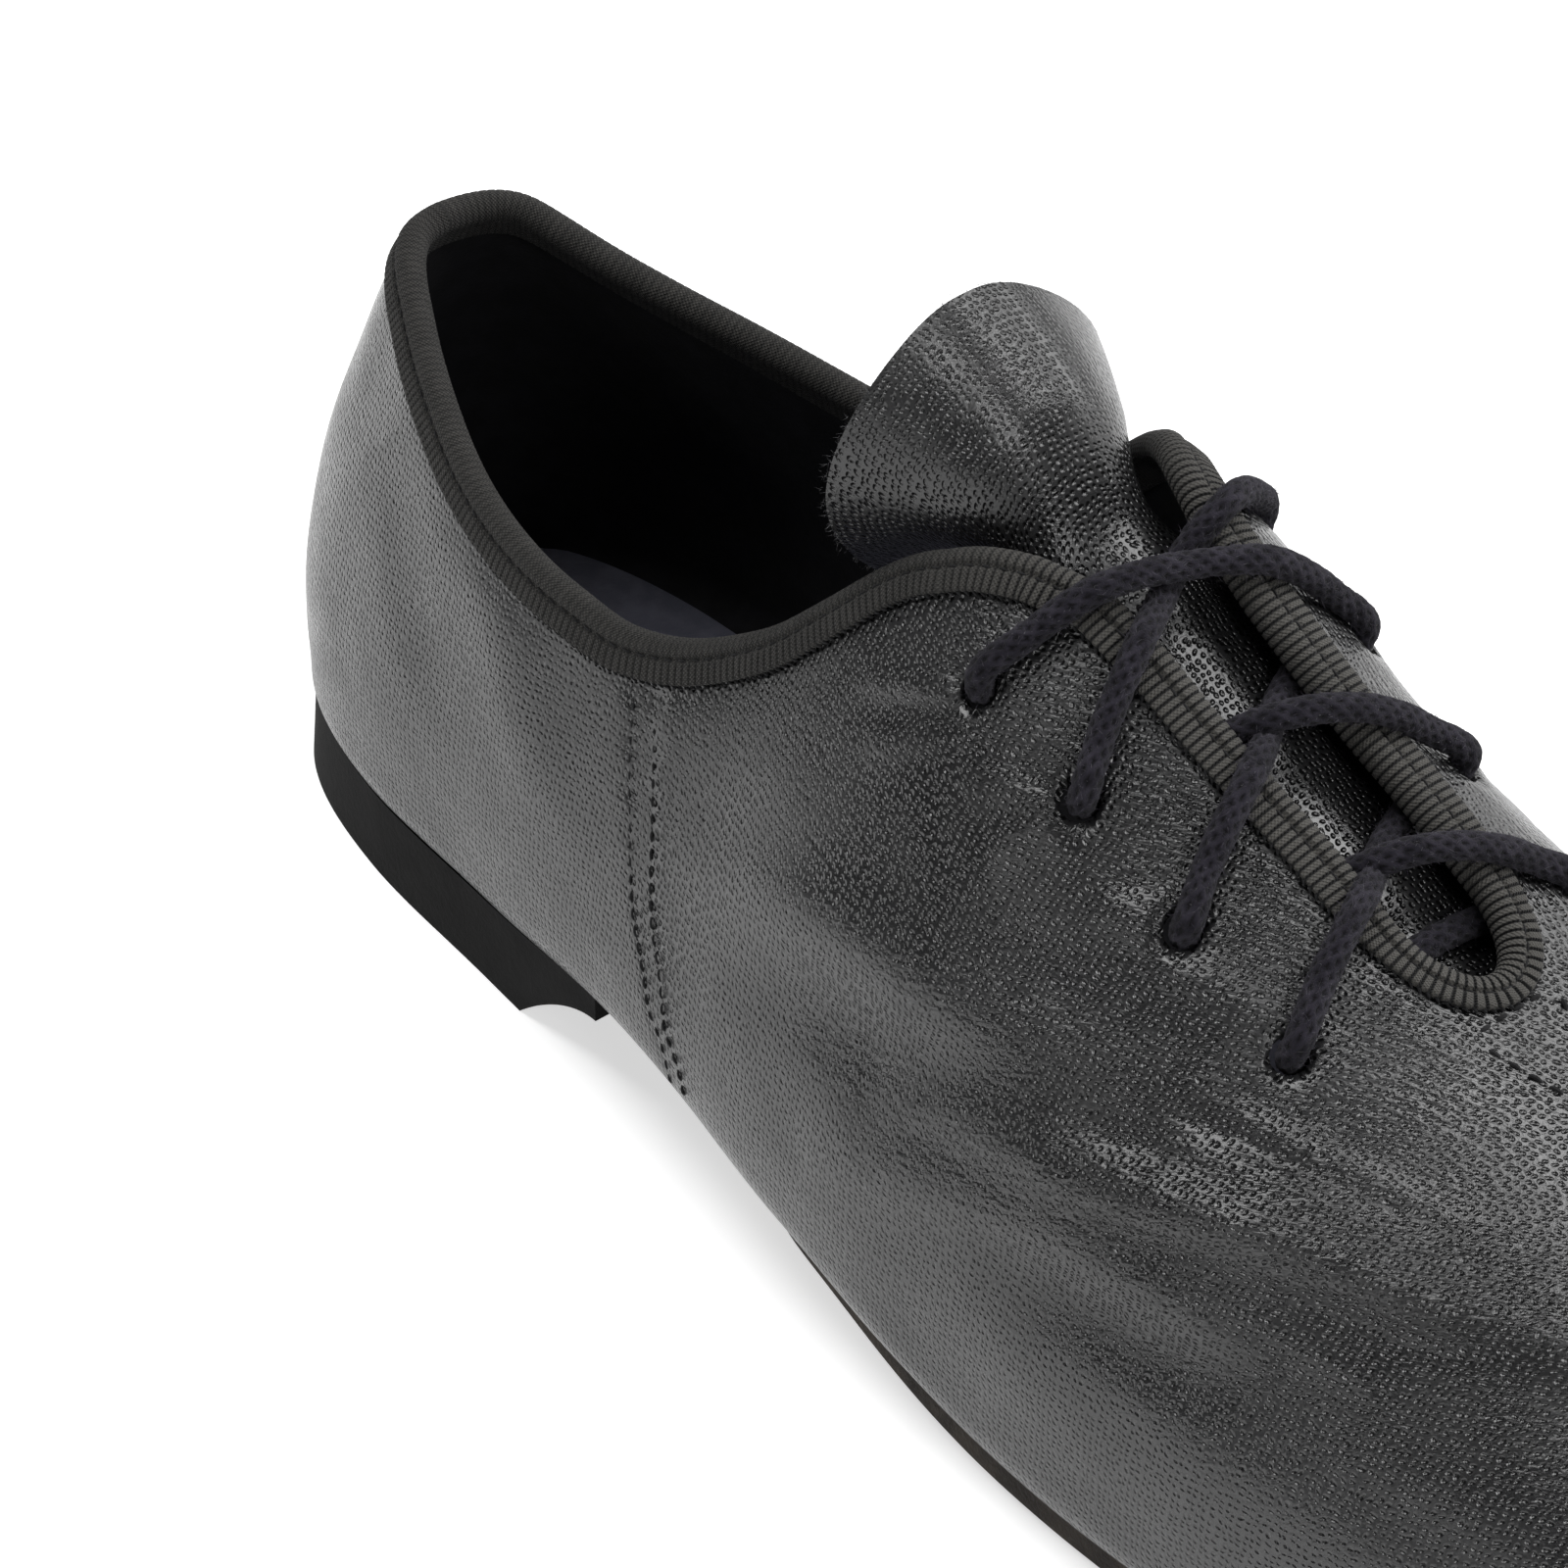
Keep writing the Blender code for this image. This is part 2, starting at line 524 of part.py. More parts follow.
def main():
    for item in list(bpy.data.objects):
        bpy.data.objects.remove(item)
    parts = bpy.data.collections.new("jazz_shoe")
    cutters = bpy.data.collections.new("cutters")
    bpy.context.scene.collection.children.link(parts)
    bpy.context.scene.collection.children.link(cutters)
    leather = make_material("black_leather", (0.035, 0.035, 0.037), 0.42)
    tongue_leather = make_material("tongue_leather", (0.045, 0.045, 0.047), 0.45)
    tape = make_material("ribbed_tape", (0.045, 0.043, 0.040), 0.85)
    cloth = make_material("insole_cloth", (0.012, 0.012, 0.016), 0.95)
    suede = make_material("sole_suede", (0.035, 0.028, 0.022), 0.95)
    rubber = make_material("heel_rubber", (0.018, 0.018, 0.019), 0.70)
    braid = make_material("lace_braid", (0.022, 0.020, 0.024), 0.90)
    build_upper(leather, parts, cutters)
    build_binding(tape, parts)
    build_tongue(tongue_leather, parts)
    build_insole(cloth, parts)
    build_forefoot_sole(suede, parts)
    build_heel(rubber, parts)
    for number in range(1, EYELET_PAIRS):
        build_lace_crossing(number, braid, parts, cutters)


main()
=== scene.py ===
# %% [markdown]
# # A jazz shoe in soft black leather
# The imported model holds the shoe's true sizes as plain solids. This lesson dresses it. Each surface
# is worked out again over the same last, only finer, and then gets what makes it real: creases where
# the leather gathered, a ribbed tape, stitches, a braided lace, and a finish for every material.

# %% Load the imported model
import math

import bmesh
import bpy
import numpy as np
from mathutils import Matrix


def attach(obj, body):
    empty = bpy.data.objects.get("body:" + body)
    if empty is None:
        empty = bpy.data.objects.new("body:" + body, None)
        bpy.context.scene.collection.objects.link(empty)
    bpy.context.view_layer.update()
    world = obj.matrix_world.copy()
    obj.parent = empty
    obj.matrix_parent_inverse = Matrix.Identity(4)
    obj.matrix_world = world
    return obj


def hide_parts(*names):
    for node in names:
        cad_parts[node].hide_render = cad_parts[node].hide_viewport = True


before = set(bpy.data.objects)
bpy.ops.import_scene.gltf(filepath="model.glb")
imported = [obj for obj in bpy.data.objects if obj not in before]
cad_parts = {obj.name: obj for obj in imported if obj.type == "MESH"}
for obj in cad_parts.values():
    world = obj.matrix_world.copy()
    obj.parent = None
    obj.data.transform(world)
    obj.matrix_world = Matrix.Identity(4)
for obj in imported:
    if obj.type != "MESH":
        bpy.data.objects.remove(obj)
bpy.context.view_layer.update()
scene = bpy.context.scene

# %% [markdown]
# ## The camera
# A product photo of a small thing is taken from about an arm's length with a long lens. The place of
# the camera could be found by eye. Here its angles, distance and lens were worked out from the
# shoe's known sizes, so that the frame cuts the toe off where the photo does.

# %% Place the camera
AZIMUTH, ELEVATION, ROLL = np.radians((49.839, 37.881, -0.484))
TARGET = np.array((0.05168, -0.00955, 0.03222))
DISTANCE = 0.669328
LENS = 150.93
SENSOR = 36.0


def look_axes(azimuth, elevation, roll):
    """Right, up and back of a camera that circles the part: azimuth turns about +Z, from -Y."""
    back = np.array((math.sin(azimuth) * math.cos(elevation),
                     -math.cos(azimuth) * math.cos(elevation), math.sin(elevation)))
    level = np.array((math.cos(azimuth), math.sin(azimuth), 0.0))
    upright = np.cross(back, level)
    right = level * math.cos(roll) + upright * math.sin(roll)
    up = upright * math.cos(roll) - level * math.sin(roll)
    return right, up, back


right, up, back = look_axes(AZIMUTH, ELEVATION, ROLL)
camera_data = bpy.data.cameras.new("camera")
camera_data.lens = LENS
camera_data.sensor_width = SENSOR
camera_data.clip_start = 0.01
camera = bpy.data.objects.new("camera", camera_data)
scene.collection.objects.link(camera)
matrix = np.eye(4)
matrix[:3, :3] = np.column_stack((right, up, back))
matrix[:3, 3] = TARGET + back * DISTANCE
camera.matrix_world = Matrix(matrix.tolist())
scene.camera = camera
print("camera at", matrix[:3, 3].round(3))

# %% [markdown]
# ## Materials are made of nodes
# Each finish is a small tree of shader nodes. Writing the trees by hand is long, so one helper adds
# a node, sets it up and feeds its sockets. A pattern that more than one material uses goes into a
# node group, which is built once and placed in each material with its own values.

# %% Helpers for shader nodes


def put(tree, kind, feeds=None, **settings):
    """Adds a node. feeds gives each socket a node, another node's socket or a plain value."""
    node = tree.nodes.new("ShaderNode" + kind)
    for name, value in settings.items():
        setattr(node, name, value)
    for name, value in (feeds or {}).items():
        socket = node.inputs[name]
        if isinstance(value, bpy.types.Node):
            value = value.outputs[0]
        if isinstance(value, bpy.types.NodeSocket):
            tree.links.new(value, socket)
        else:
            socket.default_value = value
    return node


def calc(tree, operation, first, second=0.0):
    """One sum on two values."""
    return put(tree, "Math", {0: first, 1: second}, operation=operation)


def fade(tree, value, low, high, start=0.0, end=1.0):
    """A value that runs smoothly from start to end while another runs from low to high."""
    return put(tree, "MapRange", {"Value": value, "From Min": low, "From Max": high,
                                  "To Min": start, "To Max": end}, interpolation_type="SMOOTHSTEP")


def noise(tree, vector, scale, detail=3.0, roughness=0.5):
    """A soft random pattern of the given scale, with values about 0.5."""
    return put(tree, "TexNoise", {"Vector": vector, "Scale": scale, "Detail": detail,
                                  "Roughness": roughness})


def stretched(tree, vector, scale):
    """The vector with each axis scaled by its own number."""
    return put(tree, "VectorMath", {0: vector, 1: scale}, operation="MULTIPLY")


def scaled(tree, vector, factor):
    """The vector times one number."""
    return put(tree, "VectorMath", {0: vector, 3: factor}, operation="SCALE")


def tint(tree, factor, first, second):
    """A colour between two: the first where the factor is 0, the second where it is 1."""
    mix = put(tree, "Mix", {0: factor}, data_type="RGBA")
    for socket, colour in ((mix.inputs[6], first), (mix.inputs[7], second)):
        if isinstance(colour, bpy.types.NodeSocket):
            tree.links.new(colour, socket)
        else:
            socket.default_value = (*colour, 1)
    return mix.outputs[2]


def new_group(name, inputs, outputs):
    """An empty node group. inputs are (name, kind, value) and outputs are (name, kind)."""
    tree = bpy.data.node_groups.new(name, "ShaderNodeTree")
    for label, kind, value in inputs:
        socket = tree.interface.new_socket(label, in_out="INPUT", socket_type="NodeSocket" + kind)
        socket.default_value = value
    for label, kind in outputs:
        tree.interface.new_socket(label, in_out="OUTPUT", socket_type="NodeSocket" + kind)
    return tree, tree.nodes.new("NodeGroupInput").outputs, tree.nodes.new("NodeGroupOutput").inputs


def new_material(name, **values):
    """A material with its Principled shader, whose plain sockets are set from the given values."""
    material = bpy.data.materials.new(name)
    material.use_nodes = True
    shader = material.node_tree.nodes["Principled BSDF"]
    for label, value in values.items():
        shader.inputs[label.replace("_", " ")].default_value = value
    return material, material.node_tree, shader.inputs


def link(tree, source, socket):
    """Feeds a socket from a node's first output or from another socket."""
    tree.links.new(source.outputs[0] if isinstance(source, bpy.types.Node) else source, socket)


def bump(tree, shader, height, depth):
    """Tilts the shader's normal as if the surface rose by height times depth, in metres."""
    node = put(tree, "Bump", {"Strength": 1.0, "Distance": depth, "Height": height})
    link(tree, node, shader["Normal"])


# %% [markdown]
# ## Leather grain
# Goat and sheep leather shows hair pores: small pits in loose rows, about three quarters of a
# millimetre apart, with finer creases between them. The pits could be dots of colour, but it is
# their rims catching light that the eye sees, so the group gives a height. On most of the shoe the
# pattern follows the surface's own map in metres. At the toe, where such a map bunches up, it
# changes over to a solid pattern.

# %% Grain group
GRAIN_PITCH = 0.00078
PIT_REACH = 0.40        # radius of a pit, as a share of the pitch
PIT_SCATTER = 0.38      # 0 for pits in a strict grid, 1 for pits at random
PIT_SWAY = 1.4          # how far the rows of pits wander, in pitches


def pit_mask(tree, vector, dimensions):
    """1 at a pit's middle and 0 outside, falling as 1 - (distance / reach) squared, like a small bowl."""
    cells = put(tree, "TexVoronoi", {"Vector": vector, "Scale": 1.0, "Randomness": PIT_SCATTER},
                voronoi_dimensions=dimensions)
    share = calc(tree, "DIVIDE", cells.outputs["Distance"], PIT_REACH)
    bowl = calc(tree, "SUBTRACT", 1.0, calc(tree, "MULTIPLY", share, share))
    return calc(tree, "MAXIMUM", bowl, 0.0)


def build_grain():
    """Height = 0.14 fine noise + 0.4 broad noise - pits, from the surface's map or the solid pattern."""
    tree, given, result = new_group(
        "leather grain",
        [("Surface", "Vector", (0, 0, 0)), ("Solid", "Vector", (0, 0, 0)), ("Toe", "Float", 0.0),
         ("Pitch", "Float", GRAIN_PITCH)],
        [("Height", "Float"), ("Pits", "Float")])
    density = calc(tree, "DIVIDE", 1.0, given["Pitch"])
    fields = []
    for name, dimensions in (("Surface", "2D"), ("Solid", "3D")):
        field = scaled(tree, given[name], density)
        sway = put(tree, "VectorMath", {0: noise(tree, field, 0.3, 1.0).outputs["Color"],
                                        1: (0.5, 0.5, 0.5)}, operation="SUBTRACT")
        sway = scaled(tree, sway, PIT_SWAY)
        field = put(tree, "VectorMath", {0: field, 1: sway}, operation="ADD")
        fields.append(pit_mask(tree, field, dimensions))
    pits = put(tree, "Mix", {0: given["Toe"], 2: fields[0], 3: fields[1]})
    solid = scaled(tree, given["Solid"], density)
    fine = noise(tree, solid, 3.2, 4.0, 0.6)
    broad = noise(tree, solid, 0.8, 2.0)
    height = calc(tree, "SUBTRACT", calc(tree, "MULTIPLY", fine, 0.14), pits)
    height = calc(tree, "ADD", height, calc(tree, "MULTIPLY", broad, 0.40))
    link(tree, height, result["Height"])
    link(tree, pits, result["Pits"])
    return tree


GRAIN = build_grain()
print("grain pitch, mm:", GRAIN_PITCH * 1000)

# %% [markdown]
# ## Nap
# Suede, cotton and the cut edge of leather all have a nap of tiny fibres that breaks up light. One
# group gives it: a rough height, and a mask of slightly paler patches.

# %% Nap group


def build_nap():
    """Height = noise at the fibres' size. Patches = a far broader noise, drawn apart."""
    tree, given, result = new_group(
        "fibre nap", [("Vector", "Vector", (0, 0, 0)), ("Size", "Float", 0.0004)],
        [("Height", "Float"), ("Patches", "Float")])
    scale = calc(tree, "DIVIDE", 1.0, given["Size"])
    field = scaled(tree, given["Vector"], scale)
    link(tree, noise(tree, field, 1.0, 5.0, 0.7), result["Height"])
    link(tree, fade(tree, noise(tree, field, 0.15, 3.0), 0.35, 0.7), result["Patches"])
    return tree


NAP = build_nap()
print("node groups:", [group.name for group in bpy.data.node_groups])

# %% [markdown]
# ## Black leather
# The upper is dyed goat leather with a satin finish: a dark body, a soft sheen, and pits that break
# the sheen. A separate coat layer could stand for the finish, but it would lie smooth over the pits
# and hide them. So the body itself shines, and only its normal, colour and roughness vary. Its colour
# is darkened in the pits and on the sunken band of each seam, as painted shade.

# %% Leather material
LEATHER_SHINE = 0.62
LEATHER_DEPTH = 0.00017
WRINKLE_ANGLE = math.radians(-25)
WRINKLE_SCALE = (330.0, 1400.0, 1.0)


def leather_material(name, colour, dusty, roughness):
    """Satin leather. colour is its body and dusty is where it has rubbed paler. The pits and the seam band
    get painted shade.
    """
    material, tree, shader = new_material(name, Specular_IOR_Level=LEATHER_SHINE)
    surface = put(tree, "UVMap", uv_map="metres")
    solid = put(tree, "TexCoord").outputs["Object"]
    toe, creased, seam = (put(tree, "Attribute", attribute_name=label).outputs["Fac"]
                          for label in ("toe", "creased", "seam"))
    grain = put(tree, "Group", {"Surface": surface, "Solid": solid, "Toe": toe,
                                "Pitch": GRAIN_PITCH}, node_tree=GRAIN).outputs
    rubbed = fade(tree, noise(tree, solid, 45.0, 3.0), 0.35, 0.75)
    body = tint(tree, rubbed, colour, dusty)
    # painted shade: the body is darkened in the pits and on the sunken seam band, where shade would fall
    for mask, share, dark in ((grain["Pits"], 0.95, 0.1), (seam, 0.6, 0.3)):
        body = tint(tree, calc(tree, "MULTIPLY", mask, share), body, tuple(dark * c for c in colour))
    link(tree, body, shader["Base Color"])
    gloss = calc(tree, "ADD", fade(tree, noise(tree, solid, 160.0, 3.0), 0.3, 0.7, -0.05, 0.06), roughness)
    gloss = calc(tree, "SUBTRACT", gloss, calc(tree, "MULTIPLY", grain["Pits"], 0.06))
    link(tree, gloss, shader["Roughness"])
    turned = put(tree, "VectorRotate", {"Vector": surface, "Angle": WRINKLE_ANGLE},
                 rotation_type="Z_AXIS")
    wrinkles = noise(tree, stretched(tree, turned, WRINKLE_SCALE), 1.0, 3.0, 0.5)
    wrinkles = calc(tree, "MULTIPLY", calc(tree, "MULTIPLY", wrinkles, creased), 2.0)
    height = calc(tree, "ADD", grain["Height"], wrinkles)
    height = calc(tree, "SUBTRACT", height, calc(tree, "MULTIPLY", seam, 2.2))
    bump(tree, shader, height, LEATHER_DEPTH)
    return material


LEATHER = leather_material("black_leather", (0.008, 0.008, 0.0084), (0.015, 0.015, 0.0157), 0.27)
TONGUE_LEATHER = leather_material("tongue_leather", (0.009, 0.009, 0.0094),
                                  (0.016, 0.016, 0.0167), 0.26)
print("depth of the leather's pits, mm:", LEATHER_DEPTH * 1000)

# %% [markdown]
# ## Cloth, suede and rubber
# The lining is black cloth, the insole grey cloth, the sole rough suede, and the heel matt
# rubber. All of them scatter light more than they shine, so they are rough, with a little sheen
# where fibres stand up.

# %% Plain materials


def napped_material(name, colour, pale, size, depth, sheen, roughness=0.95, shine=0.25, strands=False):
    """A matt material with a nap of the given fibre size. strands paints shade between raised strands."""
    material, tree, shader = new_material(name, Roughness=roughness, Sheen_Weight=sheen,
                                          Sheen_Roughness=0.5, Specular_IOR_Level=shine)
    solid = put(tree, "TexCoord").outputs["Object"]
    nap = put(tree, "Group", {"Vector": solid, "Size": size}, node_tree=NAP).outputs
    body = tint(tree, nap["Patches"], colour, pale)
    if strands:
        raised = put(tree, "Attribute", attribute_name="raised").outputs["Fac"]
        # painted shade: the body is darkened between the raised strands
        body = tint(tree, raised, tuple(0.15 * c for c in colour), body)
    link(tree, body, shader["Base Color"])
    bump(tree, shader, nap["Height"], depth)
    return material


LINING = napped_material("lining_cloth", (0.006, 0.006, 0.007), (0.010, 0.010, 0.012), 0.0005, 0.00008, 0.03)
INSOLE = napped_material("insole_cloth", (0.070, 0.072, 0.095), (0.10, 0.10, 0.13), 0.0005, 0.0001, 0.20)
SUEDE = napped_material("sole_suede", (0.020, 0.016, 0.013), (0.045, 0.036, 0.028), 0.0006, 0.0003, 0.10)
FLESH = napped_material("tongue_suede", (0.045, 0.045, 0.048), (0.10, 0.10, 0.105), 0.0004, 0.0002, 0.25)
BRAID = napped_material("lace_braid", (0.012, 0.0108, 0.016), (0.027, 0.0245, 0.034), 0.0003, 0.0003, 0.06,
                        shine=0.1, strands=True)
LOOSE = napped_material("lace_fibre", (0.030, 0.027, 0.038), (0.055, 0.050, 0.066), 0.0003, 0.00005, 0.2)
THREAD = napped_material("thread", (0.006, 0.006, 0.0065), (0.012, 0.012, 0.013), 0.0003, 0.00005, 0.05)
RUBBER = napped_material("heel_rubber", (0.004, 0.004, 0.004), (0.007, 0.007, 0.007), 0.0008, 0.0001,
                         0.0, 0.72, 0.07)
print("materials, with those of the solids:", len(bpy.data.materials))

# %% [markdown]
# ## Ribbed tape
# The top line is bound with grosgrain, a narrow tape of thick cross ribs. Each rib is a bundle of
# fine threads, so between the modelled ribs the bump adds small dots along and across.

# %% Tape material
RIB_PITCH = 0.00092
THREAD_PITCH = 0.00042
THREAD_DEPTH = 0.00018


def tape_material():
    """Matt tape. Its threads' dots are a sine along the tape times a sine round it; the dots' tops and the
    throat's tape are made paler as painted light, the grooves darker as painted shade.
    """
    material, tree, shader = new_material("ribbed_tape", Roughness=0.9, Sheen_Weight=0.05,
                                          Sheen_Roughness=0.45, Specular_IOR_Level=0.3)
    surface = put(tree, "UVMap", uv_map="metres")
    split = put(tree, "SeparateXYZ", {0: surface})
    along = calc(tree, "SINE", calc(tree, "MULTIPLY", split.outputs[0], 4 * math.pi / RIB_PITCH))
    around = calc(tree, "SINE", calc(tree, "MULTIPLY", split.outputs[1], 2 * math.pi / THREAD_PITCH))
    dots = calc(tree, "MULTIPLY", along, around)
    solid = put(tree, "TexCoord").outputs["Object"]
    nap = put(tree, "Group", {"Vector": solid, "Size": 0.0003}, node_tree=NAP).outputs
    height = calc(tree, "ADD", calc(tree, "MULTIPLY", dots, 0.45), nap["Height"])
    groove = calc(tree, "COSINE", calc(tree, "MULTIPLY", split.outputs[0], 2 * math.pi / RIB_PITCH))
    groove = fade(tree, groove, -0.05, 0.80)
    body = tint(tree, nap["Patches"], (0.011, 0.0105, 0.0095), (0.020, 0.019, 0.0175))
    # painted light: the raised tops of the thread dots are paler
    body = tint(tree, fade(tree, dots, 0.0, 0.9), body, (0.045, 0.043, 0.039))
    # painted light: the tape along the throat is paler
    throat = put(tree, "Attribute", attribute_name="throat").outputs["Fac"]
    pale = calc(tree, "MULTIPLY", throat, 0.5)
    body = tint(tree, pale, body, (0.095, 0.091, 0.083))
    # painted shade: the grooves between the ribs are darker, most along the throat
    depth = calc(tree, "MULTIPLY", groove, fade(tree, throat, 0.0, 1.0, 0.55, 1.0))
    body = tint(tree, depth, body, (0.003, 0.003, 0.003))
    link(tree, body, shader["Base Color"])
    bump(tree, shader, height, THREAD_DEPTH)
    return material


TAPE = tape_material()
print("materials:", [m.name for m in bpy.data.materials])

# %% [markdown]
# ## The last
# A shoe is built on a last, a solid foot shape. Its surface could be sculpted, but a last is made
# from measured sections, so it is a function here: a turn along the foot (0 at the back of the heel,
# 180 at the toe) and a rise round the section (-90 underneath, 0 at the widest line, 90 on the crown)
# give a point. The sizes and the table are those of the solids, so the two agree everywhere.

# %% Sizes and sections
LENGTH = 0.250
BALL_WIDTH = 0.084
INSTEP_HEIGHT = 0.0848
COLLAR_HEIGHT = 0.0645
HEEL_MIDDLE = 0.028
HEEL_HEIGHT = 0.0089
SOLE_THICKNESS = 0.0030
TOE_SPRING = 0.0065
SIDE_RISE = 0.0120
HEEL_TUCK = 0.0006
HEEL_LEAN = 0.0125
UPPER_WALL = 0.0016
SEAT_GAP = 0.0003
THROAT_HALF = 0.0068
THROAT_SHIFT = 0.0022
HEEL_SEAT = HEEL_HEIGHT + SEAT_GAP
BALL_SEAT = SOLE_THICKNESS + SEAT_GAP
COLUMNS = ("turn", "outer", "inner", "crown_y", "pitch", "spring", "side", "crown",
           "top_out", "top_in", "edge")
SECTIONS = np.array([
    (0,   -.004, -.004, -.004, 1.00, 0.00, 0.83, 1.000, 2.00, 2.00, 6.0),
    (12,  -.116,  .131, -.004, 1.00, 0.00, 0.83, 0.960, 1.65, 1.77, 6.0),
    (25,  -.236,  .248, -.001, 1.00, 0.00, 0.83, 0.925, 1.52, 1.45, 7.0),
    (40,  -.316,  .314,  .003, 1.00, 0.00, 0.88, 0.905, 1.73, 1.47, 7.0),
    (55,  -.353,  .328,  .013, 1.00, 0.00, 0.92, 0.943, 1.86, 1.80, 6.5),
    (70,  -.403,  .335,  .026, 1.13, 0.00, 1.00, 0.972, 1.45, 2.09, 5.0),
    (85,  -.473,  .336,  .028, 0.63, 0.00, 1.04, 1.000, 1.62, 2.22, 4.5),
    (100, -.498,  .400,  .031, 0.02, 0.00, 1.00, 0.775, 1.84, 2.16, 7.0),
    (115, -.488,  .488,  .043, 0.00, 0.00, 0.92, 0.577, 2.08, 2.07, 7.5),
    (130, -.412,  .504,  .071, 0.00, 0.09, 0.83, 0.470, 2.19, 2.08, 7.0),
    (145, -.292,  .446,  .088, 0.00, 0.35, 0.80, 0.400, 2.15, 2.10, 6.0),
    (160, -.128,  .330,  .100, 0.00, 0.66, 0.75, 0.338, 2.05, 2.05, 4.5),
    (170, -.008,  .216,  .104, 0.00, 0.84, 0.71, 0.302, 2.00, 2.00, 3.0),
    (180,  .104,  .104,  .104, 0.00, 1.00, 0.67, 0.262, 2.00, 2.00, 2.6),
])
COLLAR = np.array([
    (0, 1.000), (18, .985), (36, .925), (54, .836), (60, .823), (65, .822),
    (69, .858), (73, .932), (77, 1.035), (82, 1.155), (86, 1.200), (92, 1.260),
])
THROAT = np.array([
    (72, 2.95), (77, 2.55), (82, 2.08), (86, 1.47), (89, 1.12), (92.5, 1.01), (97, 1.00), (111, 1.00),
])
THROAT_ROUND = 105.5
THROAT_END = 110.1
THROAT_SWING = (78, 88, 90, 104)
COLLAR_BLEND = (74.0, 84.0)
HEEL_OPENING = (18.0, 24.0, 52.0, 59.0)
SOLE_OPENING = (84.0, 90.0, 158.0, 165.0)
MARGIN_RISE = -60.0
print("length, mm:", LENGTH * 1000, "ball, mm:", BALL_WIDTH * 1000)

# %% The last as a function


def spline(x, xs, ys):
    """Smooth curve through a table's points: cubic pieces with matching slopes."""
    x = np.asarray(x, float)
    slopes = np.gradient(ys, xs)
    i = np.clip(np.searchsorted(xs, x, side="right") - 1, 0, len(xs) - 2)
    h = xs[i + 1] - xs[i]
    t = (x - xs[i]) / h
    return ((1 + 2 * t) * (1 - t) ** 2 * ys[i] + t * (1 - t) ** 2 * h * slopes[i]
            + t * t * (3 - 2 * t) * ys[i + 1] + t * t * (t - 1) * h * slopes[i + 1])


def ramp(x, start, end):
    """0 before start, 1 after end, smooth between."""
    t = np.clip((np.asarray(x, float) - start) / (end - start), 0, 1)
    return t * t * (3 - 2 * t)


def column(turn, name):
    """One column of the table at a turn, smooth between the rows."""
    return spline(turn, SECTIONS[:, 0], SECTIONS[:, COLUMNS.index(name)])


def section(turn, side):
    """Half a section: crown y, edge y, middle y, underside, widest and crown heights, squareness."""
    crown_y = column(turn, "crown_y") * BALL_WIDTH
    outer = column(turn, "outer") * BALL_WIDTH
    inner = column(turn, "inner") * BALL_WIDTH
    under = (BALL_SEAT + column(turn, "pitch") * (HEEL_SEAT - BALL_SEAT)
             + column(turn, "spring") * TOE_SPRING)
    widest = under + column(turn, "side") * SIDE_RISE
    crown = column(turn, "crown") * INSTEP_HEIGHT
    square = column(turn, "top_out" if side < 0 else "top_in")
    return crown_y, outer if side < 0 else inner, (outer + inner) / 2, under, widest, crown, square


def last_point(turn, rise, side):
    """A point of the upper's outside: each half section is two quarters of a superellipse."""
    turn, rise = np.broadcast_arrays(np.asarray(turn, float), np.asarray(rise, float))
    crown_y, edge_y, middle_y, under, widest, crown, square = section(turn, side)
    above = rise >= 0
    power = np.where(above, square, column(turn, "edge"))
    cos, sin = np.cos(np.radians(rise)), np.sin(np.radians(rise))
    radius = (np.abs(cos) ** power + np.abs(sin) ** power) ** (-1 / power)
    centre_y = np.where(above, crown_y, middle_y)
    y = centre_y + (edge_y - centre_y) * radius * cos
    z = widest + np.where(above, crown - widest, widest - under) * radius * sin
    share = (z - HEEL_SEAT) / (COLLAR_HEIGHT - HEEL_SEAT)
    lean = (HEEL_TUCK * np.clip(1 - share / 0.35, 0, 1) ** 2
            + HEEL_LEAN * np.clip((share - 0.3) / 0.7, 0, None) ** 1.7)
    fading = np.cos(np.radians(np.clip(turn * 90 / 80, 0, 90))) ** 2
    x = LENGTH / 2 * (1 - np.cos(np.radians(turn))) + lean * fading - HEEL_MIDDLE
    return np.stack([x, y, z], -1)


def slopes_at(turn, rise, side):
    """How the surface runs per degree of turn and of rise."""
    turn, rise = np.asarray(turn, float), np.asarray(rise, float)
    along = last_point(turn + .2, rise, side) - last_point(turn - .2, rise, side)
    around = last_point(turn, rise + .3, side) - last_point(turn, rise - .3, side)
    return along / .4, around / .6


def unit(vectors):
    """Each vector divided by its length."""
    return vectors / np.maximum(np.linalg.norm(vectors, axis=-1, keepdims=True), 1e-12)


def way_along(line):
    """How far each point of a line lies from the first, summed from step to step."""
    return np.concatenate([[0], np.linalg.norm(np.diff(line, axis=0), axis=1).cumsum()])


def normal_at(turn, rise, side):
    """The outward direction: the cross product of the surface's two slopes."""
    along, around = slopes_at(np.clip(turn, 0.2, 179.8), rise, side)
    return unit(np.cross(along, around) * -side)


def skin(turn, rise, side, depth):
    """A point at a depth inside the upper's outside, or outside of it where depth is negative."""
    return last_point(turn, rise, side) - normal_at(turn, rise, side) * np.asarray(depth)[..., None]


def rise_at_height(turn, side, height):
    """The rise at which the surface reaches a height above the floor."""
    _, _, _, _, widest, crown, square = section(turn, side)
    up_share = np.clip((height - widest) / (crown - widest), 0, 1)
    return np.degrees(np.arctan2(up_share, (1 - up_share ** square) ** (1 / square)))


